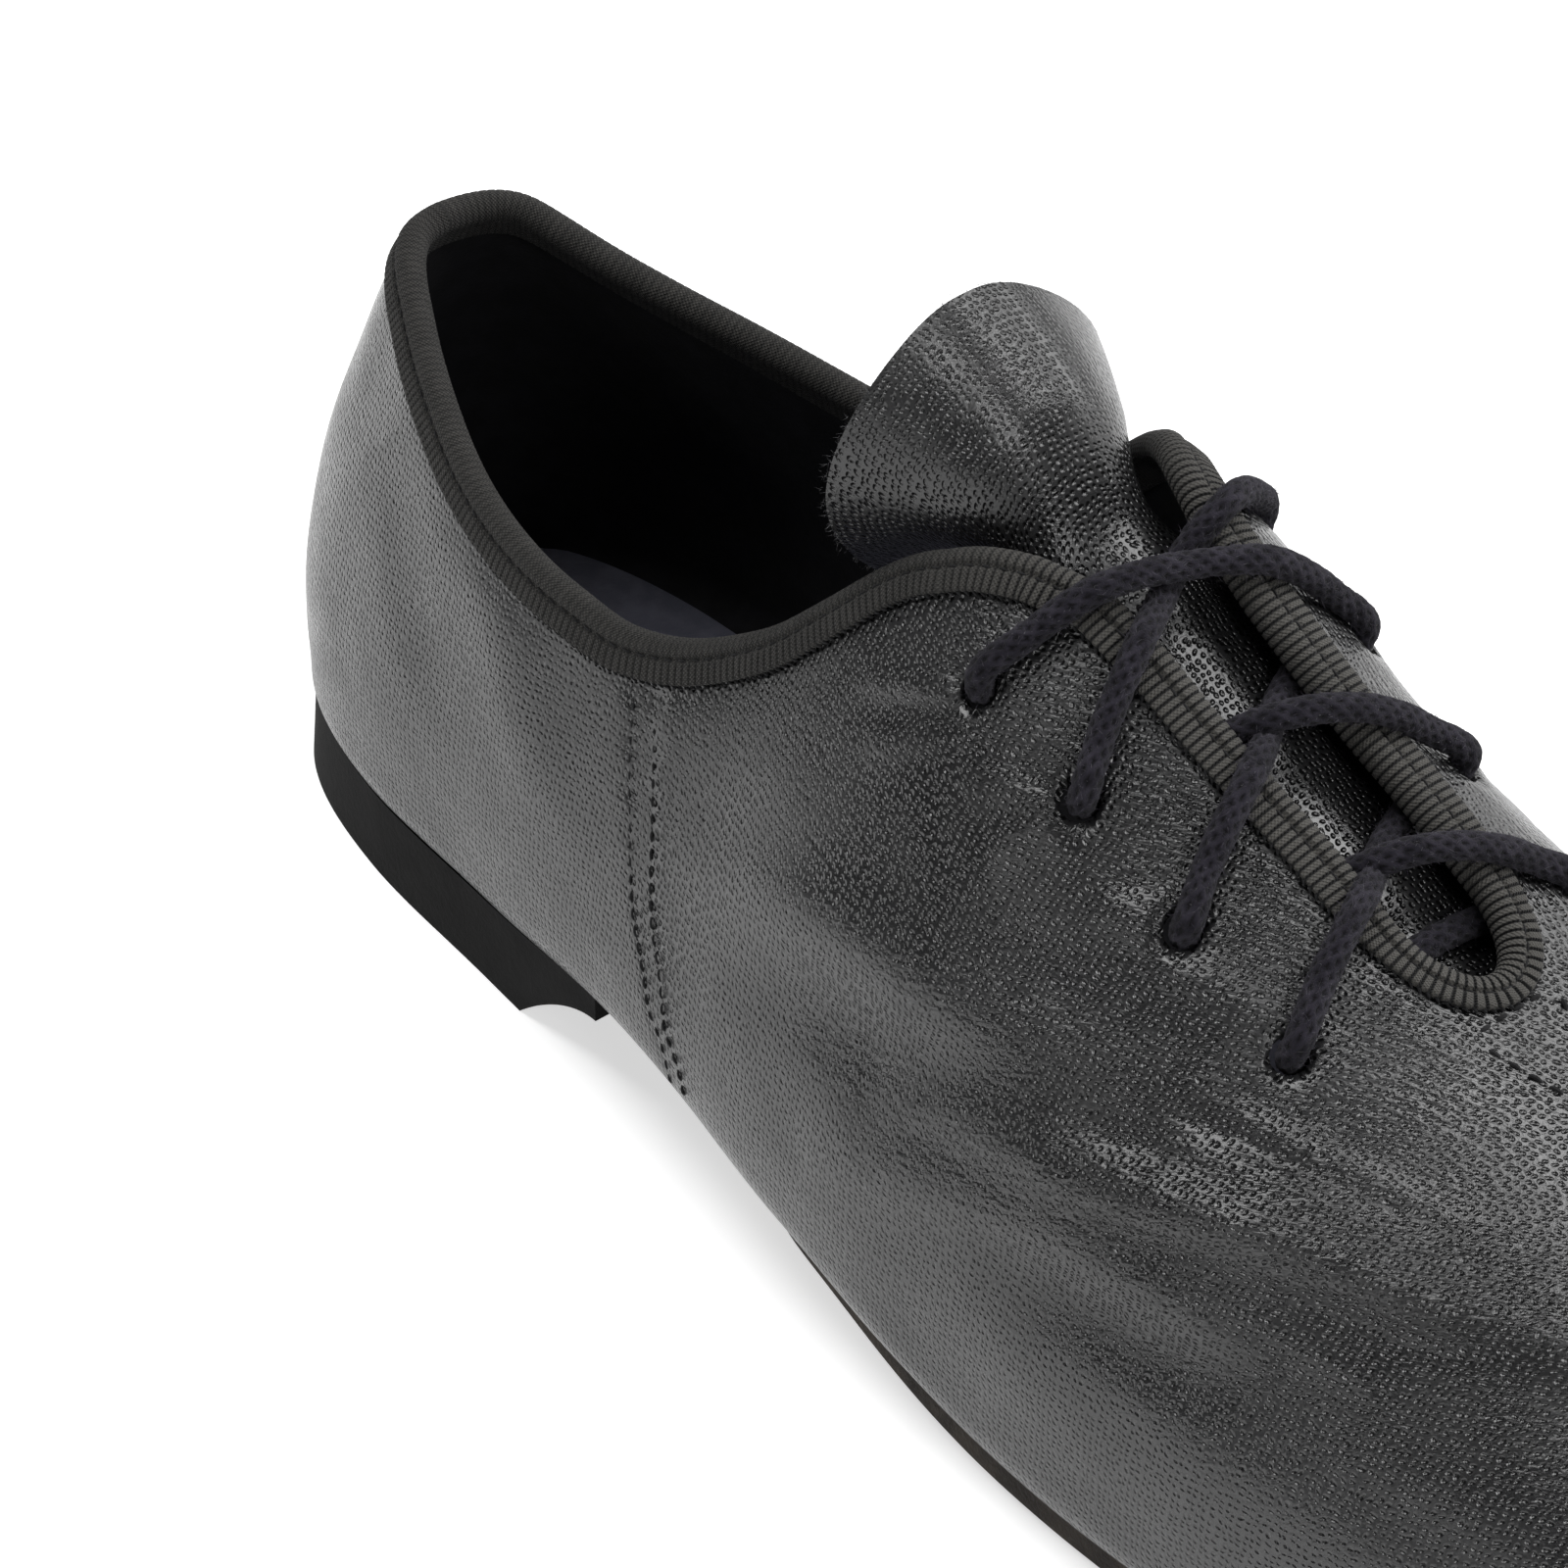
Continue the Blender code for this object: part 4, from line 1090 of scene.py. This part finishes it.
def resampled(path, step):
    """Points at even steps along a path."""
    way = way_along(path)
    marks = np.arange(0, way[-1], step)
    return np.stack([np.interp(marks, way, path[:, axis]) for axis in range(3)], -1)


def stitches(path, normals, thread):
    """Threads laid along a path: each rises by bow at its middle and thins to nothing at its ends."""
    pitch, length, radius, bow, slant = (value * MM for value in thread)
    way = way_along(path)
    starts = np.arange(pitch / 2, way[-1] - length, pitch)
    share = np.array([0, .1, .3, .5, .7, .9, 1])
    s = starts[:, None] + length * share[None]
    centre, normal = (np.stack([np.interp(s, way, values[:, axis]) for axis in range(3)], -1)
                      for values in (path, normals))
    normal = unit(normal)
    run = unit(np.gradient(centre, axis=1))
    sideways = np.cross(run, normal)
    centre = centre + normal * (bow * (4 * share * (1 - share) * 1.6 - 0.6))[None, :, None]
    centre = centre + sideways * (slant * (share - .5))[None, :, None]
    thickness = radius * np.array([0, .7, 1, 1, 1, .7, 0])
    circles = ring(np.arange(6) * math.pi / 3, sideways, normal)
    points = centre[:, :, None] + thickness[None, :, None, None] * circles
    one = grid_quads(len(share), 6, wrap_cols=True)
    return points.reshape(-1, 3), copies(one, len(starts), len(share) * 6)


def join_rows(rows):
    """Several pieces of mesh as one: their points, and their quads renumbered."""
    points, quads, first = [], [], 0
    for some_points, some_quads in rows:
        points.append(some_points)
        quads.append(some_quads + first)
        first += len(some_points)
    return np.concatenate(points), np.concatenate(quads)


def build_tape_stitches():
    """One row along the foot of the roll and one whipped over the tape's lower edge."""
    _, normal, _, where = tape_stations(LINE_TURNS, LINE_RISES, LINE_SIDES)
    rows = []
    for drop, height, thread in TAPE_ROWS:
        path = leg_point(drop * MM, -height * MM + 0 * LINE_TURNS, *where)
        rows.append(stitches(path, normal, thread))
    points, quads = join_rows(rows)
    make_piece("tape_stitches", points, quads, [THREAD], solid=True)


def build_seam_stitches():
    """Both rows of each side seam, and the three sides of the patch on the vamp."""
    rows = []
    for side in (-1, 1):
        for knots in (SEAM_BACK, SEAM_FRONT):
            rows.append(stitches(*seam_line(knots, side), SEAM_THREAD))
    for start, end in zip(TONGUE_PATCH, TONGUE_PATCH[1:] + TONGUE_PATCH[:1]):
        rows.append(stitches(*patch_side(start, end), PATCH_THREAD))
    points, quads = join_rows(rows)
    make_piece("seam_stitches", points, quads, [THREAD], solid=True)


build_tape_stitches()
build_seam_stitches()

# %% [markdown]
# ## Stray fibres
# Cotton lace and cut leather are never clean at the edge: tiny fibres stand off them. Each one is a
# thin three-sided thorn with a bend, and thousands are made together from arrays of roots.

# %% Fibres


def fibres(roots, directions, length, width, seed):
    """Thorns from roots: each runs along its direction and bends aside with its share squared."""
    random = np.random.default_rng(seed)
    count = len(roots)
    share = np.array([0, .5, 1])
    size = length * random.uniform(0.4, 1.0, (count, 1, 1))
    bend = unit(random.normal(size=(count, 3)))
    way = unit(directions + 0.7 * random.normal(size=(count, 3)))
    spine = (roots[:, None] + way[:, None] * size * share[None, :, None]
             + bend[:, None] * size * 0.7 * (share ** 2)[None, :, None])
    side_way = unit(np.cross(way, bend))
    circle = ring(np.arange(3) * 2 * math.pi / 3, side_way, np.cross(way, side_way))
    points = spine[:, :, None] + width * (1 - share)[None, :, None, None] * circle[:, None]
    return points.reshape(-1, 3), copies(grid_quads(3, 3, wrap_cols=True), count, 9)


# %% [markdown]
# ## The tongue
# The tongue lies under the throat and stands up behind it as an arch of bare leather, its flesh side
# rough. It is a slab between two grids: along the last where it lies, an arch where it stands.

# %% Shape of the tongue
LACE_RADIUS = 0.0014
TONGUE_WALL = 0.0014
TONGUE_HALF = 0.0150
TONGUE_BULGE = 0.0070
TONGUE_SWAY = 0.0055
TONGUE_RAKE = 0.0050
TONGUE_TOP = 0.0990
TONGUE_LIFT = 87.5
TONGUE_SEAM = (107.0, 112.0, 117.0)
TONGUE_ENDS = (119.0, 78.0)
TONGUE_FIBRES = 1500
BINDING_WALL = 0.0009   # the plain solid of the tape, which the tongue clears
BINDING_DROP = 0.0030


def tongue_layers():
    """The tongue's outside and inside, as grids over turns and shares of its half width."""
    turns = np.concatenate([np.linspace(TONGUE_ENDS[0], 92, 50), np.linspace(91.6, TONGUE_ENDS[1], 70)])
    shares = np.linspace(-1, 1, 97)
    middle = len(shares) // 2
    clear = UPPER_WALL + BINDING_WALL + 3 * SEAT_GAP
    room, under_tape, seam = TONGUE_SEAM
    depth = (clear + 2 * LACE_RADIUS * ramp(turns, under_tape, room)
             - (clear - UPPER_WALL - SEAT_GAP) * ramp(turns, under_tape, seam))[:, None]
    free = ramp(turns, TONGUE_LIFT + 1, 82)[:, None]
    x = distance_at(turns) - HEEL_MIDDLE
    lift_x = float(distance_at(TONGUE_LIFT)) - HEEL_MIDDLE
    climb = np.clip((lift_x - x) / (lift_x - x[-1]), 0, None)
    neck = throat_half(turns) - clear - TONGUE_WALL
    top_z = last_point(turns, top_rise(turns, -1), -1)[:, 2]
    middle_y = column(turns, "crown_y") * BALL_WIDTH - throat_shift(turns)
    angle = np.radians(90 * (1 - np.abs(shares)))
    power = 2.6
    reach = (np.cos(angle) ** power + np.sin(angle) ** power) ** (-1 / power)
    out, rising = np.sign(shares) * reach * np.cos(angle), reach * np.sin(angle)
    bulge = TONGUE_BULGE * 4 * rising * (1 - rising)
    layers = []
    for extra in (0, TONGUE_WALL):
        outer, inner = (skin(turns[:, None] + 0 * shares,
                             rise_at_gap(turns[:, None], side, np.abs(shares) * TONGUE_HALF), side,
                             depth + extra) for side in (-1, 1))
        lying = np.where(shares[None, :, None] < 0, outer, inner)
        lift_z = np.interp(TONGUE_LIFT, turns[::-1], lying[::-1, middle, 2])
        crown_z = lift_z + (TONGUE_TOP - extra - lift_z) * climb ** 0.95
        foot_z = top_z - BINDING_DROP
        arch = np.stack([
            x[:, None] - TONGUE_RAKE * (1 - rising) * climb[:, None],
            middle_y[:, None] - TONGUE_SWAY * rising * climb[:, None] ** 2
            + out * (neck[:, None] + bulge * climb[:, None] ** 2 - extra),
            foot_z[:, None] + (crown_z - foot_z)[:, None] * rising], -1)
        layers.append(lying * (1 - free[..., None]) + arch * free[..., None])
    return layers


def build_tongue():
    """A slab between the tongue's two layers, with fibres along its free edge."""
    top, bottom = tongue_layers()
    rows, cols = top.shape[:2]
    along = way_along(top[:, cols // 2])
    steps = np.linalg.norm(np.diff(top, axis=1), axis=2)
    around = np.concatenate([np.zeros((rows, 1)), steps.cumsum(1)], axis=1)
    around -= around[:, cols // 2:cols // 2 + 1]
    uv = np.stack([along[:, None] + 0 * around, around], -1)
    piece = make_piece("tongue_leather", np.stack([top, bottom]), slab_faces(rows, cols),
                       [TONGUE_LEATHER, FLESH], uv=np.stack([uv, uv]), solid=True, sharp=60)
    inside = np.zeros(len(piece.data.polygons), np.int32)
    inside[(rows - 1) * (cols - 1):] = 1
    piece.data.polygons.foreach_set("material_index", inside)
    rim = np.concatenate([top[40:, 0], top[-1], top[40:, -1]])
    random = np.random.default_rng(31)
    i = random.integers(0, len(rim), TONGUE_FIBRES)
    roots = rim[i] + random.normal(size=(TONGUE_FIBRES, 3)) * 0.25 * MM
    outward = unit(roots - top[70:, 20:-20].mean((0, 1)))
    fuzz, fuzz_quads = fibres(roots, outward, 0.7 * MM, 0.022 * MM, 32)
    make_piece("tongue_fuzz", fuzz, fuzz_quads, [FLESH])
    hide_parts("tongue")


build_tongue()

# %% [markdown]
# ## Under the foot
# The insole, the sole patch and the heel all follow the underside of the last. One function lays a
# grid over it, and each piece is a slab at its own depth. The heel's grid starts a little beside the
# middle of its back, so one more row runs along the outline there and closes it.

# %% Grid over the underside
INSOLE_THICKNESS = 0.0020
INSOLE_EDGE, SOLE_EDGE, HEEL_EDGE = -53.0, -43.5, -41.0
HEEL_BREAST = 0.0593
HEEL_RAMP = 0.0150
HEEL_TIP = 0.0007
HEEL_FLARE = 0.0012
SOLE_FLARE = 0.0010
UNDER_POINTS = 26       # points from an edge to the middle


def across_foot(turns, rises, depth):
    """Rows of points from the outer edge through the middle to the inner edge."""
    turns, depth = turns + 0 * rises, depth + 0 * rises
    outer, inner = (skin(turns, rises, side, depth) for side in (-1, 1))
    middle = (outer[:, -1:] + inner[:, -1:]) / 2
    return np.concatenate([outer[:, :-1], middle, inner[:, -2::-1]], axis=1)


def under_grid(turns, edge, depth, tuck=0.0):
    """The underside between its edges, a row for each turn. tuck draws the edge in at an end."""
    shares = np.linspace(1, 0, UNDER_POINTS) ** 0.8
    reach = (edge + 90) * (1 - np.broadcast_to(tuck, turns.shape))[:, None]
    return across_foot(turns[:, None], -90 + reach * shares,
                       np.broadcast_to(depth, turns.shape)[:, None])


def slab_piece(name, top, bottom, material, node, sharp=40.0):
    """A closed piece between a top grid and a bottom grid, in the place of a solid."""
    piece = make_piece(name, np.stack([top, bottom]), slab_faces(*top.shape[:2]), [material],
                       solid=True, sharp=sharp)
    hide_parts(node)
    return piece


# %% Build insole, sole and heel


def build_insole():
    """A slab inside the wall, raised from it by its thickness, a little uneven."""
    turns = np.linspace(14, 168, 120)
    tuck = 0.3 * ramp(turns, 26, 14) + 0.3 * ramp(turns, 155, 168)
    depth = UPPER_WALL + SEAT_GAP
    top = under_grid(turns, INSOLE_EDGE, depth + INSOLE_THICKNESS, tuck)
    top[..., 2] += 0.12 * MM * waves(top, 8, 0.02)
    slab_piece("insole_cloth", top, under_grid(turns, INSOLE_EDGE, depth, tuck), INSOLE,
               "insole")


def build_sole():
    """A slab under the forefoot. Its bottom lies lower by its thickness, not under the floor."""
    turns = np.linspace(76, 170, 180)
    tuck = 0.2 * ramp(turns, 160, 170) + 0.08 * ramp(turns, 84, 77)
    thick = SOLE_THICKNESS * (0.45 + 0.55 * ramp(turns, 76, 86))
    top = under_grid(turns, SOLE_EDGE, -SEAT_GAP, tuck)
    bottom = under_grid(turns, SOLE_EDGE, -SEAT_GAP - SOLE_FLARE * ramp(turns, 80, 95), tuck)
    bottom[..., 2] = np.maximum(top[..., 2] - thick[:, None], 0)
    slab_piece("suede_sole", top, bottom, SUEDE, "forefoot_sole")


def round_the_back(grid, turn, rise, depth):
    """One more row before the first: along the outline from its outer end round to its inner end."""
    turns = np.maximum(turn * np.linspace(1, 0, UNDER_POINTS), 0.05)[None]
    return np.concatenate([across_foot(turns, rise + 0 * turns, depth), grid])


def build_heel():
    """A slab from seat to floor. Its ramp is the height times (1 - (1 - share) to the 1.6)."""
    breast, front = (float(turn_at(d)) for d in (HEEL_BREAST, HEEL_BREAST + HEEL_RAMP))
    turns = np.concatenate([2.5 + 10 * np.linspace(0, 1, 14) ** 1.6, np.linspace(13, breast, 60),
                            np.linspace(breast, front, 26)[1:]])
    tuck = 0.08 * ramp(turns, 12, 2)
    top = under_grid(turns, HEEL_EDGE, -SEAT_GAP, tuck)
    share = np.clip((distance_at(turns)[:, None] - HEEL_BREAST) / HEEL_RAMP, 0, 1)
    bottom = under_grid(turns, HEEL_EDGE, -SEAT_GAP - HEEL_FLARE * ramp(turns, 45, 15), tuck)
    bottom[..., 2] = np.minimum(HEEL_HEIGHT * (1 - (1 - share) ** 1.6), top[..., 2] - HEEL_TIP)
    rise = -90 + (HEEL_EDGE + 90) * (1 - tuck[0])
    top = round_the_back(top, turns[0], rise, -SEAT_GAP)
    bottom = round_the_back(bottom, turns[0], rise, -SEAT_GAP - HEEL_FLARE)
    bottom[0, :, 2] = 0
    piece = slab_piece("rubber_heel", top, bottom, RUBBER, "heel")
    edge = piece.modifiers.new("soft_edge", "BEVEL")
    edge.width = 0.0005
    edge.segments = 3
    edge.angle_limit = math.radians(50)


build_insole()
build_sole()
build_heel()

# %% [markdown]
# ## The lace
# One round braided lace runs through all eight holes. Its route is a list of given places: how far
# along the foot, how far from the crown, and how high above or below the leather. A smooth curve
# goes through them, and a tube with the relief of a braid is carried along it.

# %% Route of the lace


def over(distance, gap, height):
    """A point above the last's surface, by distance from the heel's back and signed gap from the crown."""
    turn = float(turn_at(distance))
    side = -1 if gap < 0 else 1
    return skin(turn, float(rise_at_gap(turn, side, abs(gap))), side, -height)


HOLE_AT = [distance_at(eyelet(pair, -1)[0]) for pair in range(EYELET_PAIRS)]
HOLE_GAP = {-1: -EYELET_OUTER, 1: EYELET_INNER}


def at_hole(pair, side, height, forward=0.0, inward=0.0):
    """A place near a lace hole: height above the leather, forward to the toe, inward to the throat."""
    gap = HOLE_GAP[side] - side * inward
    return over(float(HOLE_AT[pair]) + forward, gap, height)


def lace_route():
    """Places along the lace in order, from its hidden end inside the top outer hole."""
    mm = lambda *values: [v * MM for v in values]
    route = []

    def bridge(start, end, side, *heights):
        """A run from one hole to one on the other side: share of the way and height, in mm."""
        first, last = float(HOLE_AT[start]), float(HOLE_AT[end])
        gap, far_gap = HOLE_GAP[side], HOLE_GAP[-side]
        for share, height in heights:
            route.append(over(first + (last - first) * share, gap + (far_gap - gap) * share, height * MM))

    def through(pair, side, upward=True):
        """Three places that lead up or down through a hole, leaning towards the throat."""
        places = [at_hole(pair, side, *mm(-3.9, .3, 1.7)), at_hole(pair, side, *mm(-1.0)),
                  at_hole(pair, side, *mm(1.2, 0, 1.0))]
        route.extend(places if upward else places[::-1])

    route.append(at_hole(0, -1, *mm(-5.5, 1.5, 4.5)))
    through(0, -1)
    bridge(0, 1, -1, (.14, 1.6), (.22, 2.1), (.31, 2.5), (.42, 1.7), (.52, 1.1), (.62, 1.8), (.70, 2.5),
           (.78, 2.2), (.89, 1.5))
    through(1, 1, upward=False)
    bridge(1, 2, 1, (.24, -4.4), (.37, -4.3), (.50, -2.4), (.60, .8), (.69, 2.5), (.78, 2.2), (.88, 1.6))
    through(2, -1, upward=False)
    bridge(2, 3, -1, (.22, -4.4), (.35, -4.2), (.45, -1.4), (.56, 1.6), (.69, 2.5), (.78, 2.2), (.89, 1.5))
    through(3, 1, upward=False)
    bridge(3, 3, 1, (.25, -4.6), (.50, -4.9), (.75, -4.6))
    through(3, -1)
    bridge(3, 2, -1, (.17, 2.0), (.29, 2.7), (.40, .8), (.51, -2.4), (.64, -4.4), (.77, -4.4))
    through(2, 1)
    bridge(2, 1, 1, (.13, 1.5), (.22, 2.2), (.30, 2.6), (.42, 2.2), (.53, .6), (.64, -3.4), (.77, -4.4))
    through(1, -1)
    bridge(1, 0, -1, (.14, 1.6), (.22, 2.1), (.31, 2.5), (.41, -.4), (.52, -2.3), (.62, -.6), (.71, 2.4),
           (.80, 2.1), (.89, 1.6))
    through(0, 1, upward=False)
    route.append(at_hole(0, 1, *mm(-5.5, 1.5, 4.5)))
    return np.array(route)


def smooth_path(knots, step):
    """A smooth curve through places, measured by the chords between them, read at even steps."""
    chord = np.concatenate([[0], (np.linalg.norm(np.diff(knots, axis=0), axis=1) ** 0.75).cumsum()])
    fine = np.linspace(0, chord[-1], 5000)
    curve = np.stack([spline(fine, chord, knots[:, axis]) for axis in range(3)], -1)
    return resampled(curve, step)


LACE_STEP = 0.00036
LACE_PATH = smooth_path(lace_route(), LACE_STEP)
print("lace length, mm:", round(len(LACE_PATH) * LACE_STEP / MM))

# %% Build the lace
BRAID_PITCH = 0.0017
BRAID_STRANDS = 6
BRAID_SIDES = 36
BRAID_RELIEF = 0.16 * MM
LACE_FIBRES = 5200


def carried_frames(path):
    """Run, side and up of a tube: each frame is the one before, turned by as little as possible."""
    run = unit(np.gradient(path, axis=0))
    side = np.empty_like(run)
    side[0] = unit(np.cross(run[0], (0.3, 0.2, 1.0)))
    for i in range(1, len(run)):
        side[i] = side[i - 1] - run[i] * (side[i - 1] @ run[i])
        side[i] /= np.linalg.norm(side[i])
    return run, side, np.cross(run, side)


def build_lace():
    """Radius = LACE_RADIUS, a little uneven, plus the higher of two crossing sets of strands."""
    path = LACE_PATH
    run, side, up_way = carried_frames(path)
    angle = np.arange(BRAID_SIDES) * 2 * math.pi / BRAID_SIDES
    along = np.arange(len(path)) * LACE_STEP
    turn_way = 2 * math.pi * along[:, None] / BRAID_PITCH / BRAID_STRANDS
    one = np.cos(BRAID_STRANDS * (angle[None] + turn_way))
    other = np.cos(BRAID_STRANDS * (angle[None] - turn_way))
    relief = np.maximum(one, other)
    radius = LACE_RADIUS * (0.95 + 0.03 * waves(path, 5, 0.006))[:, None] + BRAID_RELIEF * relief
    points = path[:, None] + radius[..., None] * ring(angle, side, up_way)
    quads = grid_quads(len(path), BRAID_SIDES, wrap_cols=True)
    last = (len(path) - 1) * BRAID_SIDES
    caps = [list(range(BRAID_SIDES)), list(range(last, last + BRAID_SIDES))]
    uv = np.stack(np.broadcast_arrays(along[:, None], (angle * LACE_RADIUS)[None]), -1)
    # raised is how far the strands stand out; the braid's material paints shade where it is low
    piece = make_piece("braided_lace", points, quads.tolist() + caps, [BRAID], uv=uv,
                       masks={"raised": np.clip(0.5 + 0.9 * relief, 0, 1)}, solid=True, sharp=70)
    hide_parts("lace_cross_1", "lace_cross_2", "lace_cross_3")
    random = np.random.default_rng(21)
    i = random.integers(8, len(path) - 8, LACE_FIBRES)
    j = random.integers(0, BRAID_SIDES, LACE_FIBRES)
    roots = points[i, j]
    fuzz, fuzz_quads = fibres(roots, unit(roots - path[i]) + run[i], 0.95 * MM, 0.028 * MM, 22)
    make_piece("lace_fuzz", fuzz, fuzz_quads, [LOOSE])


build_lace()

# %% [markdown]
# ## Floor and light
# The shoe stands on white paper under large soft lights. Black leather shows only what it reflects,
# so the lights are placed for it. The main box, high beyond the toe, lights the top of the vamp. A box
# overhead draws the highlight along the fold, a low one in front the highlights of the tongue, and a
# low one behind the far edges. The walls mirror the paper, which glows a little so that it stays white.

# %% Floor and lights
FLOOR_HALF = 4.0
FLOOR_GREY = 0.70
FLOOR_GLOW = 0.60
AIM = (0.08, 0.0, 0.03)
LIGHTS = (
    # name, place, size and power in watts
    ("main", (0.56, 0.62, 1.2), (1.0, 0.8), 18),
    ("front", (1.16, -0.32, 0.75), (0.45, 0.35), 4),
    ("crest", (-0.24, -0.20, 1.15), (0.8, 0.55), 9),
    ("behind", (0.30, 1.25, 0.62), (1.2, 0.5), 9),
    ("side_fill", (0.2, -1.4, 0.7), (0.8, 0.5), 2),
)


def build_floor():
    """A flat square of white paper that glows a little."""
    corners = np.array([(-1, -1, 0), (1, -1, 0), (1, 1, 0), (-1, 1, 0)]) * FLOOR_HALF
    mesh = bpy.data.meshes.new("floor")
    mesh.from_pydata(corners.tolist(), [], [(0, 1, 2, 3)])
    material, _, shader = new_material("floor", Roughness=0.95, Specular_IOR_Level=0.1)
    shader["Base Color"].default_value = (FLOOR_GREY, FLOOR_GREY, FLOOR_GREY, 1)
    shader["Emission Color"].default_value = (1, 1, 1, 1)
    shader["Emission Strength"].default_value = FLOOR_GLOW
    mesh.materials.append(material)
    floor = bpy.data.objects.new("floor", mesh)
    scene.collection.objects.link(floor)


def softbox(name, place, size, power):
    """A rectangular light that faces the shoe."""
    light = bpy.data.lights.new(name, "AREA")
    light.shape = "RECTANGLE"
    light.size, light.size_y = size
    light.energy = power
    item = bpy.data.objects.new(name, light)
    toward = unit(np.array(place, float) - np.array(AIM, float))
    across_way = unit(np.cross((0.001, 1.0, 0.0), toward))
    matrix = np.eye(4)
    matrix[:3, :3] = np.column_stack((across_way, np.cross(toward, across_way), toward))
    matrix[:3, 3] = place
    item.matrix_world = Matrix(matrix.tolist())
    scene.collection.objects.link(item)


def build_world(grey, strength):
    """An even grey light from all sides."""
    world = bpy.data.worlds.new("studio")
    world.use_nodes = True
    background = world.node_tree.nodes["Background"]
    background.inputs["Color"].default_value = (grey, grey, grey, 1)
    background.inputs["Strength"].default_value = strength
    scene.world = world


build_floor()
build_world(0.5, 0.16)
for light in LIGHTS:
    softbox(*light)
scene.view_settings.view_transform = "Standard"
print("lights:", len(bpy.data.lights))
